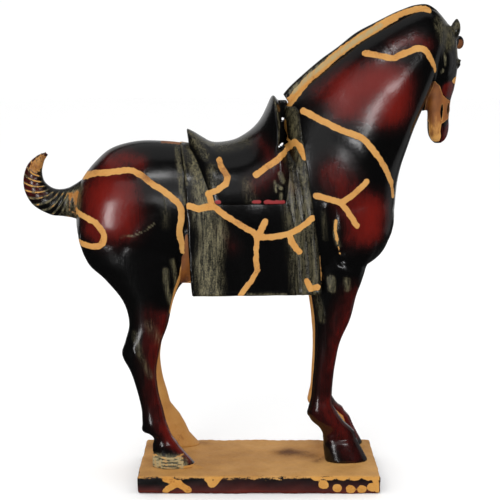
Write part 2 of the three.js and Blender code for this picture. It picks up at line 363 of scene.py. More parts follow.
@dataclass(frozen=True)
class Rod(Form):
    """A bent rod along a path, with a radius at each of its points."""

    path: Rows
    radii: tuple[float, ...]

    def bounds(self) -> Bounds:
        """The form's box."""
        points = np.array(self.path)
        thick = max(self.radii)
        return tuple(points.min(0) - thick), tuple(points.max(0) + thick)

    def distance(self, x: Array, y: Array, z: Array) -> Array:
        """Distances from its skin."""
        nearest = None
        for start, end, thick, thin in zip(self.path, self.path[1:], self.radii, self.radii[1:]):
            rx, ry, rz = run = np.subtract(end, start)
            dx, dy, dz = x - start[0], y - start[1], z - start[2]
            share = np.clip((dx * rx + dy * ry + dz * rz) / max(run @ run, 1e-9), 0, 1)
            off = np.sqrt((dx - share * rx) ** 2 + (dy - share * ry) ** 2 + (dz - share * rz) ** 2)
            here = off - thick - share * (thin - thick)
            nearest = here if nearest is None else np.minimum(nearest, here)
        return nearest


@dataclass(frozen=True)
class Outline(Form):
    """A side-view outline run between two upright walls, one on each side of the horse."""

    points: Rows
    half_width: float = 80.0

    def bounds(self) -> Bounds:
        """The form's box."""
        points = np.array(self.points)
        low, high = points.min(0), points.max(0)
        return (low[0], -self.half_width, low[1]), (high[0], self.half_width, high[1])

    def distance(self, x: Array, y: Array, z: Array) -> Array:
        """Distances from its skin."""
        points = np.array(self.points, float)
        closed = np.vstack([points, points[:1]])
        off = path_distance(x, z, closed)
        inside = np.zeros(off.shape, bool)
        for (x0, z0), (x1, z1) in zip(closed, closed[1:]):
            spans = (z0 > z) != (z1 > z)
            inside ^= spans & (x < x0 + (z - z0) * (x1 - x0) / (z1 - z0 if z1 != z0 else 1e-9))
        return np.maximum(np.where(inside, -off, off), np.abs(y) - self.half_width)


@dataclass(frozen=True)
class Level(Form):
    """Everything on one side of a plane, as a form to cut with or keep."""

    point: Place
    outward: Place

    def bounds(self) -> Bounds:
        """A box with no end."""
        return (-1e4, -1e4, -1e4), (1e4, 1e4, 1e4)

    def distance(self, x: Array, y: Array, z: Array) -> Array:
        """Distances from its skin."""
        normal = np.array(self.outward) / np.linalg.norm(self.outward)
        px, py, pz = self.point
        return (x - px) * normal[0] + (y - py) * normal[1] + (z - pz) * normal[2]


@dataclass(frozen=True)
class Turned(Form):
    """A form drawn about a pivot and turned to its left."""

    form: Form
    pivot: Place
    angle: float

    def bounds(self) -> Bounds:
        """The form's box once it is turned."""
        low, high = self.form.bounds()
        corners = np.array([(x, y, 0.0) for x in (low[0], high[0]) for y in (low[1], high[1])])
        cos, sin = math.cos(self.angle), math.sin(self.angle)
        xs = corners[:, 0] * cos - corners[:, 1] * sin + self.pivot[0]
        ys = corners[:, 0] * sin + corners[:, 1] * cos + self.pivot[1]
        zs = (low[2] + self.pivot[2], high[2] + self.pivot[2])
        return (xs.min(), ys.min(), zs[0]), (xs.max(), ys.max(), zs[1])

    def distance(self, x: Array, y: Array, z: Array) -> Array:
        """Distances from its skin."""
        cos, sin = math.cos(self.angle), math.sin(self.angle)
        dx, dy = x - self.pivot[0], y - self.pivot[1]
        return self.form.distance(dx * cos + dy * sin, dy * cos - dx * sin, z - self.pivot[2])


def meet(one: Array, other: Array, blend: float, step: float) -> Array:
    """Joins two distances, filling the crease in where their skins meet at an angle.

    Args:
        one: Distances of the first form.
        other: Distances of the second form.
        blend: Width of the filled crease, 0 for a sharp one.
        step: The grid's step.

    Returns:
        The joined distances.
    """
    nearest = np.minimum(one, other)
    if blend <= 0 or min(one.shape) < 3:
        return nearest
    overlap = np.clip(1 - np.abs(one - other) / blend, 0, 1)
    if not overlap.any():
        return nearest
    slope_one, slope_other = np.gradient(one, step), np.gradient(other, step)
    dot = sum(a * b for a, b in zip(slope_one, slope_other))
    size = np.sqrt(sum(a * a for a in slope_one) * sum(b * b for b in slope_other))
    angle = smooth(0.04, 0.6, 1 - dot / np.maximum(size, 1e-3))
    return nearest - 0.25 * blend * overlap**2 * angle


@dataclass
class Skin:
    """A closed skin of four-sided faces."""

    points: Array
    faces: Array

    def relax(self, rounds: int) -> "Skin":
        """Evens out the skin without shrinking it."""
        edges = np.vstack([self.faces[:, [k, (k + 1) % 4]] for k in range(4)])
        ends = np.concatenate([edges[:, 0], edges[:, 1]])
        others = np.concatenate([edges[:, 1], edges[:, 0]])
        count = np.bincount(ends, minlength=len(self.points)).clip(1)[:, None]
        points = self.points
        for pull in (0.5, -0.52) * rounds:
            sums = np.column_stack([np.bincount(ends, points[others, k], len(points)) for k in range(3)])
            points = points + pull * (sums / count - points)
        return Skin(points, self.faces)

    def normals(self) -> Array:
        """The skin's outward direction at each point."""
        a, b, c, d = (self.points[self.faces[:, k]] for k in range(4))
        flat = np.cross(c - a, d - b)
        total = np.zeros_like(self.points)
        for k in range(4):
            for axis in range(3):
                total[:, axis] += np.bincount(self.faces[:, k], flat[:, axis], len(self.points))
        return total / np.maximum(np.linalg.norm(total, axis=1, keepdims=True), 1e-9)


class Clay:
    """A lump of clay on a grid, to which forms are added and from which they are cut."""

    def __init__(self, grid: Grid) -> None:
        """Starts with no clay on the grid."""
        self.grid = grid
        self.field = np.full(grid.shape, FAR_AWAY, np.float32)

    def add(self, form: Form, blend: float = 0.0) -> "Clay":
        """Joins a form to the clay, with the crease filled to a width."""
        window = self.grid.window(form.bounds(), blend + 3 * self.grid.step)
        other = form.distance(*self.grid.axes(window))
        self.field[window] = meet(self.field[window], other, blend, self.grid.step)
        return self

    def cut(self, form: Form, blend: float) -> None:
        """Cuts a form out of the clay, with the rim eased to a width."""
        window = self.grid.window(form.bounds(), blend + 3 * self.grid.step)
        other = form.distance(*self.grid.axes(window))
        self.field[window] = -meet(-self.field[window], other, blend, self.grid.step)

    def keep(self, form: Form) -> None:
        """Keeps only what lies inside a form."""
        other = form.distance(*self.grid.axes(tuple(slice(0, n) for n in self.grid.shape)))
        self.field = np.maximum(self.field, other).astype(np.float32)

    def press(self, stroke: "Stroke") -> None:
        """Raises or presses the skin along a stroke of the side view."""
        path = stroke.drawn()
        low, high = path.min(0), path.max(0)
        bounds = ((low[0], -OUTSIDE, low[1]), (high[0], OUTSIDE, high[1]))
        window = self.grid.window(bounds, 3 * stroke.width)
        x, _, z = self.grid.axes(window)
        off = path_distance(x, z, path)
        self.field[window] -= stroke.height * np.exp(-((off / stroke.width) ** 2))

    def skin(self, rounds: int) -> Skin:
        """Skins the clay.

        Args:
            rounds: How many times the skin is evened out.

        Returns:
            The skin, facing outwards.
        """
        values = self.field
        inside = values < 0
        corners = [(i, j, k) for i in (0, 1) for j in (0, 1) for k in (0, 1)]
        size = np.array(values.shape) - 1

        def shifted(array: Array, corner: tuple[int, int, int]) -> Array:
            """The values at one corner of every cell."""
            return array[tuple(slice(c, c + n) for c, n in zip(corner, size))]

        filled = sum(shifted(inside, corner).astype(np.int8) for corner in corners)
        cells = np.argwhere((filled > 0) & (filled < 8))
        number = np.full(tuple(size), -1, np.int64)
        number[tuple(cells.T)] = np.arange(len(cells))
        total = np.zeros((len(cells), 3))
        count = np.zeros(len(cells))
        for corner in corners:
            for axis in range(3):
                if corner[axis]:
                    continue
                reach = np.eye(3, dtype=int)[axis]
                first = values[tuple((cells + corner).T)]
                second = values[tuple((cells + corner + reach).T)]
                crossed = (first < 0) != (second < 0)
                share = np.where(crossed, first / np.where(crossed, first - second, 1), 0)
                total[crossed] += (np.array(corner) + share[:, None] * reach)[crossed]
                count += crossed
        points = (cells + total / count[:, None]) * self.grid.step + self.grid.low
        faces = []
        for axis, (one, two) in enumerate(((1, 2), (2, 0), (0, 1))):
            here = [slice(1, n) for n in size]
            here[axis] = slice(0, size[axis])
            there = list(here)
            there[axis] = slice(1, size[axis] + 1)
            start, end = inside[tuple(here)], inside[tuple(there)]
            edges = np.argwhere(start != end)
            leaving = start[tuple(edges.T)]
            place = edges + np.array([s.start for s in here])
            around = []
            for back_one, back_two in ((1, 1), (0, 1), (0, 0), (1, 0)):
                cell = place.copy()
                cell[:, one] -= back_one
                cell[:, two] -= back_two
                around.append(number[tuple(cell.T)])
            quads = np.column_stack(around)
            faces.append(np.where(leaving[:, None], quads, quads[:, ::-1]))
        return Skin(points, np.vstack(faces)).relax(rounds)


@dataclass(frozen=True)
class Stroke:
    """A soft ridge or groove along a path of the side view.

    Attributes:
        points: Rows of x and z.
        width: Where it has faded to a third.
        height: Above the skin, or below it when negative.
    """

    points: Rows
    width: float
    height: float

    def drawn(self) -> Array:
        """The path, drawn out smoothly."""
        return curve_through(self.points, 4)


@dataclass(frozen=True)
class Line:
    """A painted line of the side view, or a single dab.

    Attributes:
        points: Rows of x and z.
        half_width: Half the brush's width.
        side: The side it is on.
        bends: False where it is a run of straight strokes.
    """

    points: Rows
    half_width: float
    side: Side = Side.NEAR
    bends: bool = True

    def drawn(self) -> Array:
        """The path as short straight runs."""
        if self.bends and len(self.points) > 2:
            return curve_through(self.points, 4)
        return np.array(self.points, float)


@dataclass(frozen=True)
class Wash:
    """A soft patch of colour along a path of the side view.

    Attributes:
        points: Rows of x and z.
        half_width: Half of the patch's width.
        strength: How strong it is in its middle, 1 for full.
        soft: How far its border fades, each way.
        side: The side it is on.
    """

    points: Rows
    half_width: float
    strength: float
    soft: float
    side: Side = Side.BOTH

    def amount(self, x: Array, y: Array, z: Array) -> Array:
        """How strong the patch is at each point."""
        off = path_distance(x, z, np.array(self.points, float))
        here = self.strength * smooth(self.half_width + self.soft, self.half_width - self.soft, off)
        return here * on_side(self.side, y)


def on_side(side: Side, y: Array) -> Array:
    """1 where points are on a side, 0 where they aren't."""
    return np.ones_like(y) if side is Side.BOTH else (y * side.value > 0).astype(float)


@dataclass(frozen=True)
class Paint:
    """What is painted on a piece.

    Attributes:
        lines: Ochre lines and dabs.
        reds: Patches rubbed through to red.
        olives: Patches of grey-olive streaks, and grey painted highlights and sheen. Past 1 they tint the
            ochre lines too.
        bare: Ochre slip left bare, as patches.
        stains_and_shade: Patches of burnt ochre: real staining, and painted shade down a recess.
        dashes: Thin red lines.
    """

    lines: tuple[Line, ...] = ()
    reds: tuple[Wash, ...] = ()
    olives: tuple[Wash, ...] = ()
    bare: tuple[Wash, ...] = ()
    stains_and_shade: tuple[Wash, ...] = ()
    dashes: tuple[Line, ...] = ()

    def masks(self, points: Array) -> dict[str, Array]:
        """Works the paint out at each point of a skin.

        Args:
            points: Rows of drawn x, y, z.

        Returns:
            For each mask's name its values. Lines are millimetres inside the line's edge plus NO_PAINT, so
            that 0 is no paint at all, and the others go from 0 to 1.
        """
        x, y, z = points.T
        found = {}
        for name, drawn in (("line", self.lines), ("dash", self.dashes)):
            inside = np.zeros(len(points))
            for line in drawn:
                depth = line.half_width - path_distance(x, z, line.drawn()) + NO_PAINT
                inside = np.maximum(inside, depth * on_side(line.side, y))
            found[name] = np.minimum(inside, 2 * NO_PAINT)
        patches = (("red", self.reds), ("olive", self.olives), ("bare", self.bare), ("stain_and_shade", self.stains_and_shade))
        for name, washes in patches:
            amounts = [wash.amount(x, y, z) for wash in washes] or [np.zeros(len(points))]
            found[name] = np.maximum.reduce(amounts)
            if name == "red":
                found[name] = 1 - np.prod([1 - amount for amount in amounts], axis=0)
        return found


# The ochre lines on the near side, as they lie on the horse, and the plainer ones on the far side
MANE_STRIPES = (
    Line(((30, 369.5), (48, 391), (62, 402.8), (81, 419.3), (100.5, 433.3), (119, 444.3), (133.5, 452.8),
          (139, 455.6)), 4.2, Side.BOTH),
    Line(((136, 454.6), (146, 459.2), (159, 463.2), (169, 464.4), (174, 463)), 3.3, Side.BOTH),
)
COLLAR = (
    (43, 362), (58, 354), (75, 345.5), (92, 338.5), (103, 333.5), (115.5, 319), (125.5, 304.5), (133, 289.5),
    (136, 275),
)
NECK_LINES = (
    *MANE_STRIPES,
    Line(((106.5, 419.5), (117, 417.5), (134, 414.5), (141, 417.5), (152, 421.5), (162, 424.5), (168, 421.5),
          (172, 416)), 3.4),
    Line(((168, 421.5), (174, 412.5), (177, 407)), 2.9),
    Line(((176, 409), (178.4, 404), (179.4, 401)), 1.8),
    Line(COLLAR[:6], 3.6),
    Line(COLLAR[5:8], 3.1),
    Line(COLLAR[7:], 2.2),
    Line(COLLAR[2:], 3.5, Side.FAR),
)
SHOULDER_LINES = (
    Line(((53.5, 278.5), (66, 275.5), (79, 271), (92, 279.5), (105, 291.5)), 3.3, bends=False),
    Line(((79, 271), (86, 262), (95.5, 247.5)), 3.1, bends=False),
    Line(((74, 253), (73.4, 243), (75.5, 234)), 1.9),
    Line(((75, 237), (76.3, 230), (79, 219)), 0.9),
    Line(((57.6, 219), (59, 206), (60, 192)), 1.2),
    Line(((62, 268), (82, 272), (100, 262)), 3.4, Side.FAR),
)
HAUNCH_LINES = (
    Line(((-178, 296), (-168.6, 299.8), (-152, 301.8), (-132, 304.2), (-120.3, 299.5), (-108, 289.8)), 3.3),
    Line(((-109, 290.5), (-95.7, 282.1), (-81.8, 269), (-81, 255.5), (-82.9, 243), (-80.5, 232)), 3.4),
    Line(((-81.5, 236), (-79.8, 223)), 2.8),
    Line(((-188, 262), (-174.5, 257), (-164.5, 251.5), (-157.5, 240), (-161, 230.5), (-171, 228.5),
          (-182, 231)), 3.3),
    Line(((-184, 290), (-156, 301), (-128, 298), (-104, 284), (-84, 262)), 3.5, Side.FAR),
)
CLOTH_LINES = (
    Line(((-6.5, 300), (12.5, 313.5), (29.5, 327), (34, 331), (38.5, 327.5), (43, 316)), 3.3, bends=False),
    Line(((-42.2, 313.5), (-40, 306.5), (-34.5, 298), (-36.5, 291), (-45, 285), (-54, 282), (-51.5, 274.5),
          (-49.5, 269.5)), 3.2, bends=False),
    Line(((-73, 269.5), (-63.5, 267), (-49.5, 269.5)), 3.7, bends=False),
    Line(((-49.5, 269.5), (-36.5, 259.5), (-20.5, 249.5), (-10, 243.5), (-5.5, 238)), 3.3, bends=False),
    Line(((-5.5, 238), (2.5, 254)), 3.4),
    Line(((-5.5, 238), (-6.5, 226), (-7, 214), (-5, 205), (-12, 193), (-19, 185), (-23, 178)), 2.9,
         bends=False),
    Line(((-5.5, 238), (8, 238), (20, 240), (26.5, 241), (36, 246), (44, 252), (50, 257)), 3.3, bends=False),
    Line(((26.5, 241), (29, 233), (36.5, 223)), 3.4, bends=False),
    Line(((44.5, 193), (48, 185.5), (55, 187)), 3.3, bends=False),
    Line(((-72, 262), (-44, 252), (-18, 240), (10, 247), (46, 254)), 3.3, Side.FAR, bends=False),
    Line(((-18, 240), (-12, 214), (-20, 180)), 3.1, Side.FAR),
)

# Patches of colour on the body, painted highlights, sheen and shade among them, and the hatching on one hoof
BODY_REDS = (
    Wash(((-150, 276), (-149, 262)), 26, 0.93, 22),
    Wash(((-150, 311), (-135, 316), (-122, 311)), 8, 0.6, 10),
    Wash(((-172, 243), (-165, 237)), 6, 0.4, 6),
    Wash(((92, 384), (120, 392), (133, 388), (131, 368)), 20, 0.93, 18),
    Wash(((80, 362), (108, 357)), 13, 0.48, 14),
    Wash(((60, 380), (84, 376)), 13, 0.42, 14),
    Wash(((136, 426), (158, 433), (168, 428)), 8, 0.5, 9),
    Wash(((113, 262), (110, 246)), 14, 0.9, 17),
    Wash(((106, 238), (90, 236)), 11, 0.42, 12),
    Wash(((72, 300), (84, 282), (92, 264)), 17, 0.52, 16),
    Wash(((-99, 156), (-105, 128), (-103, 92), (-98, 60), (-89, 34), (-76, 14)), 7, 0.5, 8),
    Wash(((-114, 160), (-116, 110), (-110, 60), (-98, 30)), 9, 0.32, 8),
    Wash(((-98, 42), (-92, 30), (-83, 18), (-76, 9)), 5, 0.55, 6, Side.NEAR),
    Wash(((92, 176), (84, 156), (76, 128), (70, 100), (66, 70), (64, 50), (80, 26), (94, 6)), 13, 0.34, 10),
    Wash(((100, 178), (91, 158), (81, 128), (74, 100)), 5, 0.25, 6),
    Wash(((70, 62), (78, 42), (88, 30)), 7, 0.3, 8),
    Wash(((92, 44), (101, 28), (108, 14)), 9, 0.5, 5, Side.FAR),
)
BODY_OLIVES_AND_HIGHLIGHTS = (
    Wash(((-84, 325), (-82, 304), (-80, 282), (-77, 271)), 2, 1, 1.4),
    # Painted reflection: a faint grey-green band down the front of the haunch
    Wash(((-97, 276), (-96, 250)), 2.5, 0.25, 4),
    Wash(((-142, 238.8), (-129, 239.8), (-118, 244.8), (-107.5, 252)), 0.5, 1, 0.6),
    # Grey-olive streaks along the croup's top edge, with a painted sheen there
    Wash(((-186, 300), (-168, 318), (-140, 331)), 2, 0.4, 5),
    Wash(((-97, 204), (-96, 186), (-91, 168)), 2, 1, 2.2),
    Wash(((-90, 214), (-86, 190), (-90, 170)), 1.6, 0.9, 1.8),
    Wash(((-128, 140), (-124, 122), (-117, 104), (-113, 96)), 2.2, 0.5, 3.2),
    Wash(((-114, 150), (-104, 132)), 3, 0.4, 5),
    Wash(((-106, 6), (-86, 5)), 9, 2.1, 3, Side.NEAR),
    Wash(((74, 252), (73.4, 240), (77, 228)), 1.6, 1.5, 1.5),
    Wash(((61, 262), (63, 236)), 1.6, 0.3, 2.5),
    # Painted highlights: grey patches at the top of the forearm
    Wash(((70, 194), (71, 183)), 3, 1.8, 2),
    Wash(((86, 192), (87, 183)), 2.4, 1, 2.4),
    Wash(((57, 176), (60, 162), (62, 150)), 2, 0.6, 3),
    Wash(((-184, 286), (-188, 258)), 4, 1, 4),
)
HOOF_HATCH = tuple(
    Line(((-112, 15.5 - 3.2 * k), (-103, 12.5 - 3.2 * k), (-92, 11.5 - 3.2 * k), (-81, 14 - 3.2 * k)), 1.25)
    for k in range(5)
)
BODY_BARE = (
    Wash(((-77, 222), (-82, 198), (-87, 184), (-92.5, 160)), 1.4, 0.9, 1.3),
    Wash(((-88, 331), (-76, 330)), 2, 0.7, 2.5),
    Wash(((-82, 0), (-68, 0)), 3, 1.2, 2, Side.NEAR),
    Wash(((-184, 286), (-188, 258)), 3.5, 0.4, 3.5),
)
BODY_STAINS_AND_SHADE = (
    # Painted shade: burnt ochre down the recess between haunch and saddle cloth
    Wash(((-74, 238), (-75.5, 216)), 3, 0.95, 2),
    Wash(((-98, 332), (-76, 330)), 3, 0.85, 3),
    # More of that painted shade, lower in the recess
    Wash(((-75, 216), (-76.5, 192)), 5.5, 0.95, 2),
    Wash(((-184, 286), (-188, 258)), 3.5, 0.45, 3.5),
)
BODY_LINES = NECK_LINES + SHOULDER_LINES + HAUNCH_LINES + HOOF_HATCH
BODY_PAINT = Paint(BODY_LINES, BODY_REDS, BODY_OLIVES_AND_HIGHLIGHTS, BODY_BARE, BODY_STAINS_AND_SHADE)

# Patches of colour on saddle and cloth, a painted highlight on the pommel's front edge among them, and the
# saddle's red dashes
SADDLE_REDS = (
    Wash(((14, 304), (-6, 290)), 11, 0.36, 10),
    Wash(((-2, 332), (8, 316)), 7, 0.36, 9),
)
SADDLE_DASHES = (
    Line(((-46, 273.6), (-43.6, 273.4)), 1.9),
    Line(((-9.5, 273.4), (-3.4, 273.6)), 1.6),
    Line(((3, 273.2), (20.5, 273)), 2.2),
)
SADDLE_OLIVES_AND_HIGHLIGHT = (
    Wash(((-66, 332), (-56, 318)), 3, 0.8, 4),
    Wash(((-71, 341), (-60, 333), (-48, 328)), 2, 0.8, 2),
    Wash(((17.5, 301), (20, 294)), 2, 1.5, 1.6, Side.NEAR),
    Wash(((14, 289.5), (18, 287)), 1.5, 1.5, 1.2, Side.NEAR),
    Wash(((12, 293), (13, 284)), 1.2, 1.2, 1.2, Side.NEAR),
    Wash(((18, 281), (17.5, 274)), 1.3, 0.9, 1.6, Side.NEAR),
    Wash(((-40, 327), (-16, 333)), 4, 0.45, 7),
    Wash(((-16, 292), (-12, 276)), 4, 0.3, 5),
    Wash(((-50, 306), (-48, 290)), 3, 0.7, 5),
    # Painted highlight: a thin grey line down the pommel's front edge
    Wash(((14.5, 374), (17.5, 350), (16.5, 324)), 0.6, 0.8, 0.9),
)
SADDLE_PAINT = Paint(CLOTH_LINES, SADDLE_REDS, SADDLE_OLIVES_AND_HIGHLIGHT, dashes=SADDLE_DASHES)
CLOTH_REDS = (Wash(((-44, 246), (-30, 228)), 6, 0.3, 9), Wash(((22, 300), (30, 284)), 5, 0.4, 8))
CLOTH_OLIVES = (
    Wash(((-66, 326), (-62, 296), (-60, 272)), 7, 1.25, 6),
    Wash(((-57, 262), (-49, 240), (-55, 212), (-52, 184)), 11.5, 1.05, 7),
    Wash(((-82.5, 342), (-79, 322), (-77, 306), (-75, 290)), 0.9, 0.9, 0.9),
    Wash(((31, 362), (38, 326), (43, 280), (49, 226), (52, 184)), 4.5, 0.72, 4),
    Wash(((22, 306), (31, 270), (35, 236), (40, 186)), 8, 0.7, 8),
    Wash(((-16, 180.5), (24, 180)), 0.8, 1, 0.9),
)
CLOTH_BARE = (
    Wash(((25.5, 352), (27, 334), (33, 328)), 1.2, 0.9, 1, Side.NEAR),
    Wash(((-83, 331), (-72, 331)), 2, 0.8, 2),
    Wash(((58.5, 236), (59.5, 190)), 0.9, 0.8, 0.9, Side.NEAR),
)
CLOTH_PAINT = Paint(CLOTH_LINES, CLOTH_REDS, CLOTH_OLIVES, CLOTH_BARE)

# Marks on the slab's front face, and sooty patches with a painted shadow on its top as x and y, in the
# frame's millimetres
SLAB_DOTS = tuple(
    Line(((x, z), (x + 1, z)), r)
    for x, z, r in ((64.5, 10, 4.6), (78, 6.2, 4.3), (91.5, 5.2, 4.3), (103, 5, 4.2), (113.5, 7, 4.6))
)
SLAB_SCALLOPS = tuple(Line(((57 + 13 * k, 20.5), (58 + 13 * k, 20.5)), 6.6) for k in range(6))
SLAB_MARKS = (
    Line(((-94, 16), (-82, 11), (-71, 4)), 3.4),
    Line(((-94, 3.5), (-87, 8), (-80, 11.5)), 3.2),
    Line(((-52, 16), (-48, 9.5), (-46, 9.5), (-38, 19)), 3.0, bends=False),
    Line(((-52, 18), (-40, 19)), 3.4),
    Line(((116, 16), (120, 4)), 3.0),
)
SLAB_SOOT_AND_SHADOW = (
    Wash(((60, -16), (70, 4)), 4, 1, 8),
    Wash(((-118, -6), (-104, -30)), 5, 0.7, 9),
    # Painted shadow: brown on the slab's top beside the near forehoof
    Wash(((30, 20), (56, 6)), 11, 0.85, 14),
    Wash(((-116, 40), (-60, 50)), 6, 0.5, 10),
)
SLAB_PAINT = Paint(SLAB_DOTS + SLAB_SCALLOPS + SLAB_MARKS, SLAB_SOOT_AND_SHADOW)


def put(name: str, data: bpy.types.ID) -> Object:
    """Puts an object in the scene."""
    made = bpy.data.objects.new(name, data)
    bpy.context.scene.collection.objects.link(made)
    return made


def circle(steps: int) -> list[tuple[float, float]]:
    """The cosine and sine at even steps round a circle."""
    return [(math.cos(2 * math.pi * k / steps), math.sin(2 * math.pi * k / steps)) for k in range(steps)]


class Piece:
    """A finished mesh that rides on the body and stands for a node."""

    @staticmethod
    def mesh(name: str, points: Array, faces: list, masks: dict[str, Array]) -> Mesh:
        """Makes a smooth mesh with its masks.

        Args:
            name: The mesh's name.
            points: Rows of x, y, z in metres.
            faces: Rows of point numbers.
            masks: Values at the points for each attribute's name.

        Returns:
            The mesh.
        """
        made = bpy.data.meshes.new(name)
        made.from_pydata(points.tolist(), [], faces)
        made.polygons.foreach_set("use_smooth", np.ones(len(made.polygons), bool))
        for attribute, values in masks.items():
            layer = made.attributes.new(attribute, "FLOAT", "POINT")
            layer.data.foreach_set("value", np.asarray(values, np.float32))
        made.update()
        return made

    @staticmethod
    def settle(mesh: Mesh, finish: Material, node: str, slot: Slot) -> Object:
        """Puts a mesh in the scene for a node.

        Args:
            mesh: The finished mesh, in the shared frame.
            finish: Its material.
            node: The CAD node that it stands for.
            slot: The record's slot that it is finished from; not used.

        Returns:
            The object.
        """
        piece = put(mesh.name, mesh)
        mesh.materials.clear()
        mesh.materials.append(finish)
        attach(piece, "root")
        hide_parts(node)
        log.info("%s: %d faces", piece.name, len(mesh.polygons))
        return piece

    @classmethod
    def from_skin(
        cls, name: str, skin: Skin, paint: Paint, finish: Material, extra: dict[str, Array] | None = None
    ) -> Object:
        """Makes a piece of the horse from its skin.

        Args:
            name: The piece's name.
            skin: Its skin in drawn millimetres.
            paint: What is painted on it.
            finish: Its material.
            extra: Further values of masks, laid over the paint.

        Returns:
            The object.
        """
        masks = paint.masks(skin.points)
        for mask, values in (extra or {}).items():
            masks[mask] = np.maximum(masks[mask], values)
        mesh = cls.mesh(name, STAND.to_world(skin.points), skin.faces.tolist(), masks)
        return cls.settle(mesh, finish, "horse", Slot.LACQUER)


class Value:
    """A number in a node tree that takes part in ordinary sums."""

    def __init__(self, tree: "Tree", socket: Socket) -> None:
        """Wraps an output socket."""
        self.tree = tree
        self.socket = socket

    def _math(self, operation: str, *values: "Value | float", clamp: bool = False) -> "Value":
        """Adds a Math node over some values."""
        sockets = dict(enumerate(values))
        node = self.tree.node("ShaderNodeMath", {"operation": operation, "use_clamp": clamp}, sockets)
        return Value(self.tree, node.outputs[0])

    def __add__(self, other: "Value | float") -> "Value":
        """Self plus other."""
        return self._math("ADD", self, other)

    __radd__ = __add__

    def __sub__(self, other: "Value | float") -> "Value":
        """Self less other."""
        return self._math("SUBTRACT", self, other)

    def __rsub__(self, other: float) -> "Value":
        """Other less self."""
        return self._math("SUBTRACT", other, self)

    def __mul__(self, other: "Value | float") -> "Value":
        """Self times other."""
        return self._math("MULTIPLY", self, other)

    __rmul__ = __mul__

    def most(self, other: "Value | float") -> "Value":
        """The larger of two."""
        return self._math("MAXIMUM", self, other)

    def clamped(self) -> "Value":
        """Held between 0 and 1."""
        return self._math("ADD", self, 0.0, clamp=True)

    def cosine(self) -> "Value":
        """The cosine of an angle."""
        return self._math("COSINE", self)

    def step(self, low: "Value | float", high: "Value | float") -> "Value":
        """A soft step from 0 at low to 1 at high."""
        settings = {"interpolation_type": "SMOOTHSTEP"}
        sockets = {"Value": self, "From Min": low, "From Max": high}
        return Value(self.tree, self.tree.node("ShaderNodeMapRange", settings, sockets).outputs["Result"])


class Tree:
    """A node tree, with one way to add a node."""

    def __init__(self, tree: bpy.types.NodeTree) -> None:
        """Starts with the tree cleared."""
        self.tree = tree
        tree.nodes.clear()

    def node(
        self, kind: str, settings: dict[str, object] | None = None, sockets: Sockets | None = None
    ) -> bpy.types.Node:
        """Adds a node.

        Args:
            kind: The node's type.
            settings: Its settings, set first; stops are a ramp's places and colours.
            sockets: Values or links of its input sockets, by name or number.

        Returns:
            The node.
        """
        made = self.tree.nodes.new(kind)
        for name, value in (settings or {}).items():
            if name == "stops":
                self._stops(made.color_ramp, value)
            else:
                setattr(made, name, value)
        for key, value in (sockets or {}).items():
            target = made.inputs[key]
            source = value.socket if isinstance(value, Value) else value
            if isinstance(source, Socket):
                self.tree.links.new(source, target)
            elif target.type == "RGBA":
                target.default_value = (*source[:3], 1.0)
            else:
                target.default_value = source
        return made

    @staticmethod
    def _stops(ramp: bpy.types.ColorRamp, stops: tuple[tuple[float, Row], ...]) -> None:
        """Sets a ramp's stops."""
        while len(ramp.elements) < len(stops):
            ramp.elements.new(1.0)
        for element, (place, colour) in zip(ramp.elements, stops):
            element.position = place
            element.color = (*colour, 1.0)


class Shader(Tree):
    """A material's node tree, with short ways to its nodes."""

    def __init__(self, name: str) -> None:
        """Starts a material with a bare shader."""
        self.material = bpy.data.materials.new(name)
        self.material.use_nodes = True
        super().__init__(self.material.node_tree)
        self.place = self.node("ShaderNodeTexCoord").outputs["Object"]

    def mask(self, name: str) -> Value:
        """The values of one of the piece's attributes."""
        return Value(self, self.node("ShaderNodeAttribute", {"attribute_name": name}).outputs["Fac"])

    def noise(self, per_metre: Place, detail: float = 3.0, rough: float = 0.55) -> Value:
        """Cloudy noise from 0 to 1.

        Args:
            per_metre: Clouds in a metre along x, y and z.
            detail: Finer and finer layers.
            rough: How strong the finer layers are.

        Returns:
            The noise.
        """
        sockets = {"Vector": self.place, "Scale": per_metre}
        scaled = self.node("ShaderNodeMapping", {"vector_type": "POINT"}, sockets).outputs[0]
        sockets = {"Vector": scaled, "Scale": 1.0, "Detail": detail, "Roughness": rough}
        return Value(self, self.node("ShaderNodeTexNoise", {}, sockets).outputs[0])

    def ramp(self, amount: Value, stops: tuple[tuple[float, Row], ...]) -> Socket:
        """Colours along stops."""
        return self.node("ShaderNodeValToRGB", {"stops": stops}, {0: amount}).outputs[0]

    def blend(self, amount: Value, under: object, over: object) -> Socket:
        """Lays one colour over another by an amount."""
        settings = {"data_type": "RGBA", "clamp_factor": True}
        return self.node("ShaderNodeMix", settings, {0: amount, 6: under, 7: over}).outputs[2]

    def finish(self, sockets: dict[str, object], height: Value, depth: float) -> Material:
        """Ends the tree with a shader.

        Args:
            sockets: The shader's values and links.
            height: Relief of the surface, in millimetres.
            depth: How strongly the relief shows, from 0 to 1.

        Returns:
            The material.
        """
        bump = self.node("ShaderNodeBump", {}, {"Strength": depth, "Distance": MM, "Height": height})
        surface = self.node("ShaderNodeBsdfPrincipled", {}, sockets | {"Normal": bump.outputs[0]})
        self.node("ShaderNodeOutputMaterial", {}, {"Surface": surface.outputs[0]})
        return self.material


@dataclass(frozen=True)
class Ochre:
    """The ochre slip's colours, in linear light."""

    pale: Row = (0.53, 0.275, 0.068)
    warm: Row = (0.47, 0.215, 0.042)
    deep: Row = (0.22, 0.08, 0.013)

    def colour(self, shader: Shader) -> Socket:
        """Mottled ochre."""
        clouds = shader.noise((46, 46, 46), 4.0)
        grain = shader.noise((620, 620, 620), 2.0)
        amount = clouds * 0.7 + grain * 0.3
        return shader.ramp(amount, ((0.28, self.deep), (0.42, self.warm), (0.66, self.pale)))


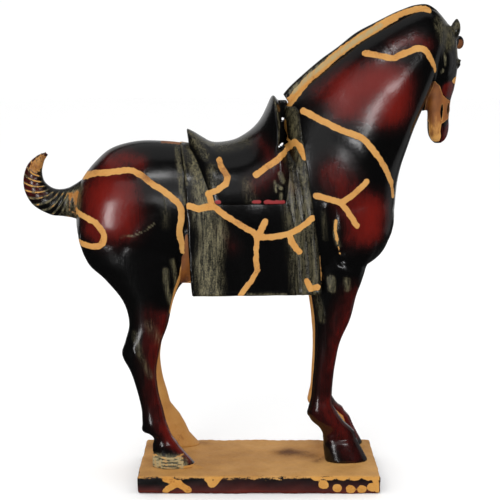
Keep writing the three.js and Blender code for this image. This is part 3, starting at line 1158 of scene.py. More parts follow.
@dataclass(frozen=True)
class LacquerFinish:
    """Glossy black lacquer, rubbed through to red and streaked, with matt ochre lines.

    Attributes:
        reds: Colours from unrubbed lacquer to fully rubbed.
        olive: Colours of the grey-olive streaks, which also give the grey painted highlights.
        pale: Tint of the ochre line where olive is brushed over it.
        burnt: Colours of the burnt ochre, for real staining and for painted shade.
        dash: Colour of the red dashes.
        gloss: Roughness of the lacquer.
        coat: Weight of its clear top coat.
    """

    reds: tuple[tuple[float, Row], ...] = (
        (0.0, (0.0013, 0.0012, 0.0013)),
        (0.2, (0.006, 0.0015, 0.0014)),
        (0.4, (0.028, 0.0022, 0.0018)),
        (0.6, (0.070, 0.0034, 0.0020)),
        (1.0, (0.128, 0.0050, 0.0024)),
    )
    olive: tuple[Row, Row] = ((0.042, 0.038, 0.018), (0.185, 0.158, 0.078))
    pale: Row = (0.33, 0.28, 0.15)
    burnt: tuple[Row, Row] = ((0.105, 0.024, 0.0018), (0.24, 0.075, 0.007))
    dash: Row = (0.24, 0.012, 0.014)
    slip: Ochre = field(default_factory=Ochre)
    gloss: float = 0.19
    coat: float = 0.12

    def build(self, name: str) -> Material:
        """Makes the material."""
        shader = Shader(name)
        wander = shader.noise((190, 190, 190), 2.0) - 0.5
        fray = shader.noise((900, 900, 900), 2.0) - 0.5
        cloud = shader.noise((34, 34, 24), 4.0)
        rub = shader.noise((150, 150, 60), 4.0, 0.65)
        streak = shader.noise((460, 460, 46), 4.0, 0.7)
        pit = shader.noise((330, 330, 330), 3.0)
        line = (shader.mask("line") - NO_PAINT + wander * 2.6 + fray * 0.9).step(0.0, 0.55)
        dash = (shader.mask("dash") - NO_PAINT + wander * 3.0).step(-0.3, 0.4)
        bare = (shader.mask("bare") + (rub - 0.5) * 0.9 + fray * 0.25).step(0.42, 0.55)
        # Burnt ochre: real staining, and painted shade down the recess between haunch and saddle cloth
        stain_and_shade = (shader.mask("stain_and_shade") + (rub - 0.5) * 0.8 + (streak - 0.5) * 0.3).step(0.36, 0.66)
        red = shader.mask("red")
        mottled = (rub - 0.5) * 1.7 + (streak - 0.5) * 1.3
        redness = (red * (0.85 + 0.3 * cloud) + mottled * red * (1.0 - red)).clamped()
        # Grey-olive streaks; a few patches are painted highlights and sheen
        olive = shader.mask("olive")
        mixed = streak * 0.95 + rub * 0.4 + fray * 0.6 - 0.18
        brushed = mixed.step(0.24, 0.66)
        streaked = (olive * (0.2 + 0.8 * brushed)).clamped()
        olive_colour = shader.blend(mixed.step(0.38, 0.7), self.olive[0], self.olive[1])
        burnt = shader.blend(cloud.step(0.36, 0.62), self.burnt[0], self.burnt[1])
        slip = self.slip.colour(shader)
        tinted = shader.blend((olive - 1.0).clamped() * (0.35 + 0.65 * brushed), slip, self.pale)
        colour = shader.blend(streaked * 0.85, shader.ramp(redness, self.reds), olive_colour)
        for amount, over in ((bare, slip), (stain_and_shade, burnt), (line, tinted), (dash, self.dash)):
            colour = shader.blend(amount, colour, over)
        painted = line.most(bare).most(stain_and_shade * 0.8).most(dash)
        dull = streaked.most(painted)
        rough = self.gloss + (pit - 0.5) * 0.12 + streaked * 0.32 + painted * 0.42
        height = line * 0.22 + (pit - 0.5) * 0.2 + (streak - 0.5) * 0.2 + (rub - 0.5) * 0.3
        sockets = {
            "Base Color": colour,
            "Roughness": rough,
            "Coat Weight": (1.0 - dull) * self.coat,
            "Coat Roughness": 0.13,
            "IOR": 1.42,
        }
        return shader.finish(sockets, height, 0.45)


@dataclass(frozen=True)
class SlipFinish:
    """Matt tan slip on the slab's top, worn dark lacquer round its edge.

    Attributes:
        tan: The slip's colours from dirt and painted shadow to clean.
        edge: The lacquer's colours from the slab's foot to its top.
        clear: How far above the ragged border a point is where its edge mask is 0.
    """

    tan: tuple[tuple[float, Row], ...] = (
        (0.16, (0.13, 0.05, 0.012)),
        (0.36, (0.36, 0.175, 0.046)),
        (0.66, (0.53, 0.285, 0.088)),
    )
    edge: tuple[tuple[float, Row], ...] = (
        (0.0, (0.10, 0.012, 0.007)),
        (0.18, (0.058, 0.010, 0.008)),
        (0.5, (0.026, 0.006, 0.006)),
        (0.85, (0.005, 0.004, 0.004)),
    )
    clear: float = 5.0
    slip: Ochre = field(default_factory=Ochre)

    def build(self, name: str) -> Material:
        """Makes the material."""
        shader = Shader(name)
        apart = shader.node("ShaderNodeSeparateXYZ", {}, {0: shader.place})
        height = Value(shader, apart.outputs["Z"]) * 1000.0
        ragged = shader.noise((62, 170, 240), 4.0, 0.7)
        fray = shader.noise((700, 700, 700), 3.0)
        cloud = shader.noise((22, 22, 22), 4.0)
        grain = shader.noise((520, 520, 520), 3.0, 0.7)
        wander = shader.noise((190, 190, 190), 2.0) - 0.5
        top = (self.clear - shader.mask("edge") + (ragged - 0.5) * 13.0 + (fray - 0.5) * 4.0).step(-0.4, 0.5)
        dab = (shader.mask("line") - NO_PAINT + wander * 2.6).step(-0.25, 0.35)
        # On the top: sooty patches and a painted shadow beside a forehoof; on the sides: darker towards the
        # hind end
        soot_and_shadow = shader.mask("red")
        tan = shader.ramp(cloud * 0.75 + grain * 0.25 - soot_and_shadow * 0.36, self.tan)
        edge = shader.ramp(height * (1 / 19.0) + (cloud - 0.5) * 0.8 + soot_and_shadow * 0.5 - 0.05, self.edge)
        colour = shader.blend(top, edge, tan)
        colour = shader.blend(dab, colour, self.slip.colour(shader))
        matt = top.most(dab)
        relief = (grain - 0.5) * 0.5 + matt * 0.35 + (cloud - 0.5) * 1.0
        sockets = {
            "Base Color": colour,
            "Roughness": 0.46 + matt * 0.34,
            "Coat Weight": (1.0 - matt) * 0.03,
            "Coat Roughness": 0.2,
            "IOR": 1.27,
        }
        return shader.finish(sockets, relief, 0.5)


@dataclass(frozen=True)
class Legs:
    """The four legs, drawn on the near side and mirrored to the far one.

    Attributes:
        hind: Stations of the near hind leg.
        fore: Stations of the near foreleg.
        hind_step: How far forward the far hind leg stands, back and front: at the top, and added by the sole.
        fore_step: The same for the far foreleg.
        step_begins: Height above the soles from which the added step grows.
    """

    hind: Rows = (
        (-164, 284, -98, 284, 15, -23), (-182, 240, -80, 245, 21.5, -25),
        (-175.5, 211, -76, 219, 22, -25.5), (-157.5, 193, -79, 197, 19.5, -28),
        (-140, 171, -89, 172, 16.5, -30.5), (-134, 149, -95, 147, 13.5, -33),
        (-138, 131, -101, 131, 12.5, -34.5), (-141.5, 117, -104.5, 117, 12, -36),
        (-133, 99, -107, 99, 10.5, -36.5), (-127, 80, -105, 78, 9.5, -37),
        (-122.5, 60, -100.5, 60, 9.5, -37), (-121.5, 45, -97, 45, 11, -38), (-117, 37, -93.5, 35, 11, -38),
        (-110.5, 30, -91, 30, 10.5, -38), (-111.5, 19, -82.5, 19, 12.5, -38), (-112, 0, -66, 0, 15.5, -38),
    )
    fore: Rows = (
        (68, 268, 120, 268, 12, -24), (61, 236, 125, 238, 18, -25), (54, 206, 110, 207, 18.5, -27),
        (52, 187, 103, 187, 16.5, -28), (52.5, 171, 98, 173, 14.5, -28), (55.5, 149, 92, 149, 12.5, -28),
        (56, 126, 82, 126, 11, -28), (55.5, 105, 77.5, 105, 10.5, -28), (54, 86, 75, 86, 9.5, -28),
        (52.5, 68, 74, 66, 9, -28), (49.5, 53, 76.5, 56.5, 11.5, -28), (52.5, 43, 86, 42, 12, -28),
        (61, 35, 95.5, 33, 11, -28), (65.5, 26, 99, 26, 11, -28), (65, 18, 102.5, 18, 13, -29),
        (67, 0, 112, 0, 15.5, -31),
    )
    hind_step: tuple[Row, Row] = ((5, 2), (3, 3))
    fore_step: tuple[Row, Row] = ((3, 5), (3, 1))
    step_begins: float = 160

    def far(self, stations: Rows, step: tuple[Row, Row]) -> Rows:
        """Mirrors a leg's stations and sets them forward."""

        def ahead(share: Row, height: float) -> float:
            """How far forward the far leg is at a height."""
            return share[0] + share[1] * max(0.0, 1 - height / self.step_begins)

        return tuple(
            (ax + ahead(step[0], az), az, bx + ahead(step[1], bz), bz, w, -y)
            for ax, az, bx, bz, w, y in stations
        )

    def forms(self) -> list[Loft]:
        """The four legs as forms."""
        far_hind, far_fore = self.far(self.hind, self.hind_step), self.far(self.fore, self.fore_step)
        return [Loft(stations, fullness=2.2) for stations in (self.hind, far_hind, self.fore, far_fore)]

    def soles(self) -> list[tuple[float, float, float, float]]:
        """Each hoof's sole: middle x, middle y, half length and half width."""
        lasts = [form.stations[-1] for form in self.forms()]
        return [((ax + bx) / 2, y, (bx - ax) / 2, w) for ax, _, bx, _, w, y in lasts]

    def knobs(self) -> list[Form]:
        """The fetlocks' knobs, the far legs' thicker runs, and the tail's root."""
        knobs = [Egg((-115, 38 * side, 39.5), (7.5, 7.5, 4.6)) for side in (-1, 1)]
        knobs += [Egg((56, -28, 51), (7.8, 9.5, 6.5)), Egg((60.5, 28, 51), (5.6, 9, 6.5))]
        pastern = Rod(((-100, 38, 50), (-89, 38, 31), (-83, 38, 20), (-78, 38, 10)), (4.6, 7.6, 7.6, 7.0))
        forearm = Rod(((58.5, 28, 192), (60, 28, 175), (63.6, 28, 150), (66, 28, 125)), (6, 6, 6, 6))
        coronet = Egg((88, 28, 37), (6.5, 9, 7))
        root = Rod(((-166, 0, 272), (-183, 0, 271)), (20, 11.5))
        return [*knobs, pastern, forearm, coronet, root]

    def bare(self, points: Array, normals: Array) -> Array:
        """How bare the slip is left on the inner faces of the legs, from 0 to 1.

        Args:
            points: Rows of drawn x, y, z.
            normals: Outward directions at them.

        Returns:
            The values.
        """
        x, y, z = points.T
        facing = -normals[:, 1] * np.sign(y)
        inward = np.where(y > 0, smooth(-0.3, 0.0, facing), smooth(0.2, 0.5, facing))
        found = np.zeros(len(points))
        for stations, lacquered, here in ((self.hind, -20.0, x < -60), (self.fore, 2.0, x > 40)):
            rows = np.array(stations)[::-1]
            heights = rows[:, [1, 3]].mean(1)
            used = (-rows[:, 5], rows[:, 4], rows[:, 2], rows[:, 0])
            middle, width, front, back = (np.interp(z, heights, row) for row in used)
            depth = middle + 0.7 * width - np.abs(y)
            behind = smooth(0, 3, front - lacquered - x)
            if lacquered < 0:
                behind *= smooth(-1, 3, x - back - 16 * smooth(120, 160, z))
            found = np.maximum(found, smooth(-2.5, 2.5, depth) * smooth(205, 180, z) * inward * behind * here)
        return found


@dataclass(frozen=True)
class Body:
    """Barrel, neck, breast and legs.

    Attributes:
        stations: Chords from croup to poll, a along back and crest, b along belly, breast and throat.
        breast: Upright sections from under the saddle to the point of the breast.
        crest_narrowing: How much slimmer the neck is at the crest than at the throat.
        lean: How much slimmer the barrel is above than below.
        throat: Where the finer head piece takes over, and the way it faces.
        lap: How far the two run over each other.
        room: Box that it is modelled in.
        step: Distance between points of the skin.
        strokes: Muscles, tendons and creases.
        legs: The four legs.
    """

    stations: Rows = (
        (-186, 281, -187, 243, 10, 0), (-179, 295, -183, 224, 30, 0), (-167, 310, -172, 207, 42, 0),
        (-150, 324, -152, 192, 48, 0), (-124, 331, -124, 186, 50, 0), (-97, 331, -97, 184, 48, 0),
        (-72, 328, -72, 184, 46, 0), (-40, 321, -40, 180, 49, 0), (-5, 318, 0, 177, 51, 0),
        (18, 321, 38, 178, 51, 0), (25, 331, 68, 180, 50.5, 0), (26, 343, 91, 186, 49.5, 0),
        (26, 355, 109, 198, 48, 0), (28, 366, 128, 214, 46.5, 0), (34, 375, 137, 234, 44.5, 0),
        (43, 384, 140.5, 258, 41.5, 0), (55, 394, 143, 285, 37.5, 0), (70, 406, 147, 304, 33.5, 0),
        (87, 419, 153, 322, 30.5, 0), (104, 432, 160, 342, 28, 0), (122, 442.5, 167, 358, 26, 1.5),
        (139.5, 452, 174, 374, 24, 3.5), (156, 460, 182, 394, 22, 6), (171, 465.5, 187, 410, 20, 9),
        (182.5, 463.2, 190, 421, 17.5, 12), (190, 457.7, 193, 430, 14, 15), (197, 448.8, 198, 438, 7, 18),
    )
    breast: Rows = (
        (30, 300, 30, 180, 44, 0), (55, 312, 55, 180, 48.5, 0), (75, 316, 75, 181, 49, 0),
        (93, 315, 93, 185, 47.5, 0), (108, 308, 108, 199, 44.5, 0), (121, 296, 121, 209, 39, 0),
        (131, 283, 130, 220, 31, 0), (138, 268, 136.5, 232, 20, 0), (140.5, 256, 140, 247, 6, 0),
    )
    crest_narrowing: float = 0.24
    throat: tuple[Row, Row] = ((144.5, 0, 400), (0.883, 0, 0.47))
    lean: float = 0.12
    lap: float = 2.0
    room: Bounds = ((-198, -64, -6), (204, 64, 474))
    step: float = 1.75
    strokes: tuple[Stroke, ...] = (
        Stroke(((71, 264), (74, 247), (75, 229), (81, 212)), 3.6, -2),
        Stroke(((62, 266), (65, 244), (66, 222)), 3.6, 1.2),
        Stroke(((80, 210), (94, 204), (110, 206)), 4.2, -1.5),
        Stroke(((-84, 208), (-80, 224), (-79, 246)), 4.5, -1.8),
        Stroke(((-112, 262), (-127, 249), (-140, 226)), 6, -0.9),
        Stroke(((-104, 205), (-98, 184), (-104, 160)), 5, -1),
        Stroke(((-130, 126), (-121, 104), (-117, 84)), 3, 0.9),
        Stroke(((-124, 112), (-114, 88), (-112, 66)), 2.6, -0.9),
        Stroke(((72, 160), (73, 130), (71, 100), (68, 74)), 3, -0.9),
        Stroke(((84, 186), (80, 156), (74, 128)), 4, 1.1),
        Stroke(((65, 156), (66, 132), (67.5, 106)), 1.5, 0.9),
        Stroke(((71, 190), (71.5, 173)), 3, 0.9),
        Stroke(((85, 187), (86, 174)), 2.6, 0.7),
        Stroke(((65, 24.5), (80, 28), (98, 30)), 1.7, 0.9),
        Stroke(((64, 19), (82, 23), (100, 24)), 1.7, -0.6),
        Stroke(((-114, 23), (-98, 24), (-82, 26)), 2, 0.7),
        Stroke(((-100, 46), (-94, 34), (-88, 24)), 2.4, 0.8),
        Stroke(((162, 394), (152, 365), (139, 335), (127, 309)), 4.5, -1),
        Stroke(((60, 352), (88, 336), (104, 318)), 9, 0.8),
    )
    legs: Legs = field(default_factory=Legs)

    def trunk(self) -> Loft:
        """Barrel and neck as one form."""
        return Loft(self.stations, slimmer=self.crest_narrowing, lean=self.lean)

    def withers(self, first: int, last: int, grow: float) -> Loft:
        """The form's run between two stations, grown."""
        ends = len(self.stations) - 1
        slims = tuple((share * ends - first) / (last - first) for share in (0.44, 0.75))
        stations = self.stations[first : last + 1]
        return Loft(stations, slimmer=self.crest_narrowing, slims=slims, lean=self.lean, grow=grow)

    def build(self, holes: tuple[Form, ...], finish: Material) -> Object:
        """Models and dresses the body, with holes through the withers."""
        clay = Clay(Grid.around(self.room, self.step))
        clay.add(self.trunk()).add(Loft(self.breast), 14)
        for form in self.legs.forms():
            clay.add(form, 16)
        for knob in self.legs.knobs():
            clay.add(knob, 5)
        for stroke in self.strokes:
            clay.press(stroke)
        for hole in holes:
            clay.cut(hole, HOLE_RIM)
        point, outward = self.throat
        past = tuple(p + self.lap * o for p, o in zip(point, outward))
        clay.keep(Level(past, outward))
        clay.keep(Level((0, 0, 0), (0, 0, -1)))
        skin = clay.skin(3)
        normals = skin.normals()
        x, _, z = skin.points.T
        belly = smooth(-0.45, -0.8, normals[:, 2]) * smooth(212, 196, z) * smooth(150, 170, z) * (x > -100)
        bare = np.maximum(self.legs.bare(skin.points, normals), belly)
        return Piece.from_skin("body_and_legs", skin, BODY_PAINT, finish, {"bare": bare})


@dataclass(frozen=True)
class Spot:
    """A soft patch of colour about a place of the head."""

    middle: Row
    half: Row
    strength: float = 1.0

    def amount(self, local: Array) -> Array:
        """How strong the patch is at each point."""
        reach = np.sqrt((((local - self.middle) / self.half) ** 2).sum(1))
        return self.strength * smooth(1.25, 0.75, reach)


# Patches of colour on the head, in its own place, by mask; the dark ones are painted shade
HEAD_SPOTS = {
    "bare": (
        Spot((9, -10, -56.5), (14.5, 10, 4.4), 0.9),
        Spot((30, -5, -20.5), (6.5, 8, 7.5), 0.5),
        Spot((4, 11.6, 1), (7, 4, 7), 0.3),
    ),
    "stain_and_shade": (Spot((29, -4, -20.5), (7, 8, 7), 0.62),),
    # Painted shade: these keep the near side's mouth slit and nose groove black
    "dark": (Spot((-14.7, -8.9, -89), (1.5, 3, 8.5)), Spot((-4.2, -10, -86), (2.4, 3, 6.5), 0.9)),
    "red": (
        Spot((-6, -12, -66), (13, 10, 9), 0.5),
        Spot((2, -8, -68), (14, 18, 12), 0.35),
        Spot((0, -6, -112), (13, 16, 13), 0.5),
        Spot((-14, -14, -110), (3, 6, 12), 0.6),
    ),
    "olive": (
        Spot((-13, -9, -8), (17, 12, 20), 0.5),
        Spot((-27, -10, -6), (4.5, 8, 15), 0.35),
        Spot((-20.4, -12, -34), (1.4, 5, 8), 1),
        Spot((-21.5, -11, -47), (1.5, 5, 2.6), 1),
        Spot((4, -9, 1), (8, 9, 8), 0.6),
        Spot((4, -14, -30), (5, 6, 14), 0.55),
    ),
}


@dataclass(frozen=True)
class Head:
    """The head with ears, eyes and forelock, and the top of the neck that carries it.

    Attributes:
        stations: Rows from poll to chin about the poll: height, brow or nose, jaw, and half width.
        poll: Where the head is turned.
        turn: How far it looks to the horse's left.
        jaw_edge: Where the bare slip of the jaw ends: rows of height and distance forward.
        room: Box that it is modelled in.
        step: Distance between points of the skin.
    """

    stations: Rows = (
        (2, 2, -8, 6), (-4, 8, -15, 11.5), (-14, 14, -21, 14.5), (-26, 17, -26, 15.7),
        (-40, 18.5, -28, 16.3), (-51.5, 17.5, -26, 15), (-59, 16.5, -23.5, 13.7), (-66, 15, -22, 12.6),
        (-73, 11.8, -21.5, 11.3), (-81, 8.6, -21.5, 10.6), (-94, 6.5, -20.5, 10.1), (-104, 6.8, -20, 10.3),
        (-112, 5.5, -18.5, 9.4), (-118, 2, -14.5, 6.8), (-121.5, -3, -10.5, 3),
    )
    poll: Place = (193, 20, 448)
    turn: float = math.radians(50)
    jaw_edge: Rows = (
        (-119, -11.5), (-108.6, -15.4), (-101, -15), (-97.5, -8), (-94, 4), (-90, 8), (-84, 8), (-79, 5),
        (-76, -8), (-72, -14.5), (-67, -17), (-62, -19), (-57.7, -23.5), (-54, -30),
    )
    room: Bounds = ((114, -36, 320), (226, 66, 474))
    step: float = 1.0

    def local(self, points: Array) -> Array:
        """Takes points of the horse to the head's own place."""
        cos, sin = math.cos(self.turn), math.sin(self.turn)
        dx, dy, dz = (points - self.poll).T
        return np.column_stack([dx * cos + dy * sin, dy * cos - dx * sin, dz])

    def skull(self) -> Loft:
        """Skull, jaw and nose as one form."""
        stations = tuple((front, z, back, z, half, 0) for z, front, back, half in self.stations)
        return Loft(stations, fullness=2.1)

    def turned(self, form: Form) -> Turned:
        """A form of the head at the poll."""
        return Turned(form, self.poll, self.turn)

    def model(self, clay: Clay) -> None:
        """Models skull, jaw, ears, eyes, nose and forelock."""
        clay.add(self.turned(self.skull()), 7)
        for side in (-1, 1):
            cheek = Egg((-11, 9.5 * side, -38), (13, 7.5, 17))
            brow = Egg((8.4, 10.2 * side, -38.2), (6.2, 5.2, 4.6))
            socket = Egg((9.6, 16.2 * side, -40.4), (5.4, 3.2, 4.4))
            eye = Egg((9.8, 12.0 * side, -40.2), (4.1, 3.5, 3.7))
            lid = ((4.2, 14.6 * side, -39.4), (9.2, 15.5 * side, -36.2), (14.0, 12.2 * side, -38.0))
            lower_lid = ((4.6, 13.8 * side, -41.8), (9.0, 13.8 * side, -43.4), (12.8, 11.0 * side, -41.8))
            nose = Egg((1.0, 6.4 * side, -86), (3.2, 2.6, 6.0))
            nostril = Egg((4.6, 9.8 * side, -84), (2.4, 2.2, 4.4))
            groove = Egg((-4.2, 10.2 * side, -86), (1.6, 1.8, 6))
            mouth = ((-14.9, 8.6 * side, -82), (-14.8, 8.4 * side, -89), (-14.4, 8.6 * side, -96))
            ear = (
                (-1, -14, 10, -12, 4.6, 10 * side), (0, -6, 11, -5, 5.6, 11 * side),
                (3.5, 1, 10.4, 2, 4.2, 11.4 * side), (7.4, 6.8, 8.6, 7, 0.8, 11.6 * side),
            )
            hollow = Egg((10.8, 12.4 * side, -4), (2.4, 2.6, 6.5))
            for work, form, blend in (
                (clay.add, cheek, 6), (clay.add, brow, 3), (clay.cut, socket, 1.5), (clay.add, eye, 0.5),
                (clay.add, Rod(lid, (0.8, 1.3, 0.9)), 1.2), (clay.add, Rod(lower_lid, (0.7, 0.9, 0.7)), 1.0),
                (clay.add, nose, 4), (clay.cut, nostril, 1.0), (clay.cut, groove, 0.8),
                (clay.cut, Rod(mouth, (0.8, 1.5, 1.0)), 0.6), (clay.add, Loft(ear), 2.5),
                (clay.cut, hollow, 1.0),
            ):
                work(self.turned(form), blend)
        throat = Egg((172.0, 14.5, 370.5), (7, 6, 10.5))
        clay.add(throat, 4)
        forelock = Egg((20, -3, -17), (9, 3.6, 5.6))
        knot = Egg((31, -3, -17.4), (6.2, 4.6, 7))
        tie = Rod(((25.5, -9, -12), (26, -9.4, -18), (25.4, -8.4, -23)), (1.0, 1.2, 1.0))
        for work, form, blend in ((clay.add, forelock, 2.5), (clay.add, knot, 1.2), (clay.cut, tie, 0.8)):
            work(self.turned(form), blend)

    def masks(self, points: Array) -> dict[str, Array]:
        """Works out the colours of the head at each point.

        Args:
            points: Rows of drawn x, y, z.

        Returns:
            The values of each mask, and of one named "on_head" that is 0 on the neck.
        """
        local = self.local(points)
        on_head = smooth(4, 1, self.skull().distance(*local.T))
        edge = np.interp(local[:, 2], *np.array(self.jaw_edge).T)
        jaw = smooth(1.2, -1.2, local[:, 0] - edge) * (local[:, 2] < -46) * on_head
        jaw *= 1 - smooth(-96, -102, local[:, 2]) * smooth(2.5, 6, local[:, 1])
        jaw *= smooth(-121.5, -118, local[:, 2])
        found = {}
        for name, spots in HEAD_SPOTS.items():
            found[name] = np.maximum.reduce([spot.amount(local) for spot in spots])
        # Painted shade in the mouth slit and nose groove holds the slip and burnt ochre back
        lit = 1 - found.pop("dark")
        found["bare"] = np.maximum(found["bare"] * on_head, jaw * 0.95) * lit
        # The jaw's burnt ochre is stronger high on the jaw than towards the chin
        burnt = jaw * (0.44 + 0.36 * smooth(-110, -88, local[:, 2]))
        found["stain_and_shade"] = np.maximum(found["stain_and_shade"], burnt) * lit
        found["red"] *= on_head
        found["on_head"] = on_head
        return found

    def build(self, body: Body, finish: Material) -> Object:
        """Models and dresses the head."""
        clay = Clay(Grid.around(self.room, self.step))
        clay.add(body.trunk())
        for stroke in body.strokes:
            clay.press(stroke)
        self.model(clay)
        point, outward = body.throat
        before = tuple(p - body.lap * o for p, o in zip(point, outward))
        clay.keep(Level(before, tuple(-o for o in outward)))
        skin = clay.skin(2)
        masks = BODY_PAINT.masks(skin.points)
        head = self.masks(skin.points)
        on_neck = 1 - head.pop("on_head")
        masks["line"] *= on_neck > 0.5
        for name, values in head.items():
            masks[name] = np.maximum(masks[name] * on_neck, values)
        mesh = Piece.mesh("head_and_poll", STAND.to_world(skin.points), skin.faces.tolist(), masks)
        return Piece.settle(mesh, finish, "horse", Slot.LACQUER)


@dataclass(frozen=True)
class Mane:
    """The hogged mane on the crest, cut square above the withers.

    Attributes:
        stations: Chords across the mane, with the share of its half width.
        half_width: Half its thickness.
        step: Distance between points of the skin.
    """

    stations: Rows = (
        (25, 378, 35, 363, 1, 0), (32, 386, 44, 370, 1, 0), (44, 397, 54, 383, 1, 0),
        (63, 413, 72, 400, 1, 0), (81, 426, 89, 413, 1, 0), (99, 440, 106, 427, 1, 0),
        (118, 450, 125, 437, 0.95, 1.5), (136, 459, 141, 447, 0.9, 3), (148, 464, 152, 453, 0.8, 4.5),
        (160, 468, 162, 456, 0.75, 6.5), (173, 469, 172, 458, 0.65, 9), (182.5, 464.5, 180, 455, 0.5, 11.5),
        (189, 459, 185, 450, 0.35, 14),
    )
    half_width: float = 5.0
    step: float = 1.1

    def build(self, finish: Material) -> Object:
        """Models and dresses the mane."""
        stations = tuple((*row[:4], row[4] * self.half_width, row[5]) for row in self.stations)
        form = Loft(stations, fullness=4)
        low, high = form.bounds()
        margin = 3
        around = (tuple(v - margin for v in low), tuple(v + margin for v in high))
        skin = Clay(Grid.around(around, self.step)).add(form).skin(2)
        olives = (Wash(((34, 380), (52, 397), (73, 413.5), (99, 432.5), (124, 447.5)), 3.2, 1.9, 2.2),)
        return Piece.from_skin("mane", skin, Paint(MANE_STRIPES, (), olives), finish)


class GeometryTree(Tree):
    """A geometry node tree with named inputs, and short ways to its nodes."""

    def __init__(self, name: str, inputs: dict[str, str]) -> None:
        """Starts a tree whose inputs are given by name and socket type."""
        super().__init__(bpy.data.node_groups.new(name, "GeometryNodeTree"))
        face = self.tree.interface
        face.new_socket("Geometry", in_out="OUTPUT", socket_type="NodeSocketGeometry")
        for label, kind in ({"Geometry": "NodeSocketGeometry"} | inputs).items():
            face.new_socket(label, in_out="INPUT", socket_type=kind)
        self.given = self.tree.nodes.new("NodeGroupInput").outputs

    def named(self, name: str) -> Value:
        """The values of one of the mesh's attributes."""
        found = self.node("GeometryNodeInputNamedAttribute", {"data_type": "FLOAT"}, {"Name": name})
        return Value(self, found.outputs[0])

    def store(self, geometry: Socket, name: str, value: Value) -> Socket:
        """Stores a value as an attribute of the mesh's points."""
        settings = {"data_type": "FLOAT", "domain": "POINT"}
        sockets = {"Geometry": geometry, "Name": name, "Value": value}
        return self.node("GeometryNodeStoreNamedAttribute", settings, sockets).outputs[0]

    def close(self, geometry: Socket, finish: Material) -> bpy.types.NodeTree:
        """Makes the instances real, gives them their material and ends the tree."""
        for kind, sockets in (
            ("GeometryNodeRealizeInstances", {}),
            ("GeometryNodeSetShadeSmooth", {"Shade Smooth": True}),
            ("GeometryNodeSetMaterial", {"Material": finish}),
        ):
            geometry = self.node(kind, {}, {0: geometry} | sockets).outputs[0]
        self.node("NodeGroupOutput", {}, {0: geometry})
        return self.tree

    @staticmethod
    def run(tree: bpy.types.NodeTree, start: Mesh, values: dict[str, object], name: str) -> Mesh:
        """Runs a tree on a mesh.

        Args:
            tree: The tree.
            start: The mesh that it starts from.
            values: Its inputs' values by name.
            name: Name of the result.

        Returns:
            The result as a plain mesh.
        """
        holder = put(name + "_start", start)
        modifier = holder.modifiers.new(name, "NODES")
        modifier.node_group = tree
        for item in tree.interface.items_tree:
            if item.item_type == "SOCKET" and item.in_out == "INPUT" and item.name in values:
                modifier[item.identifier] = values[item.name]
        found = holder.evaluated_get(bpy.context.evaluated_depsgraph_get())
        mesh = bpy.data.meshes.new_from_object(found)
        mesh.name = name
        holder.modifiers.clear()
        bpy.data.objects.remove(holder)
        return mesh


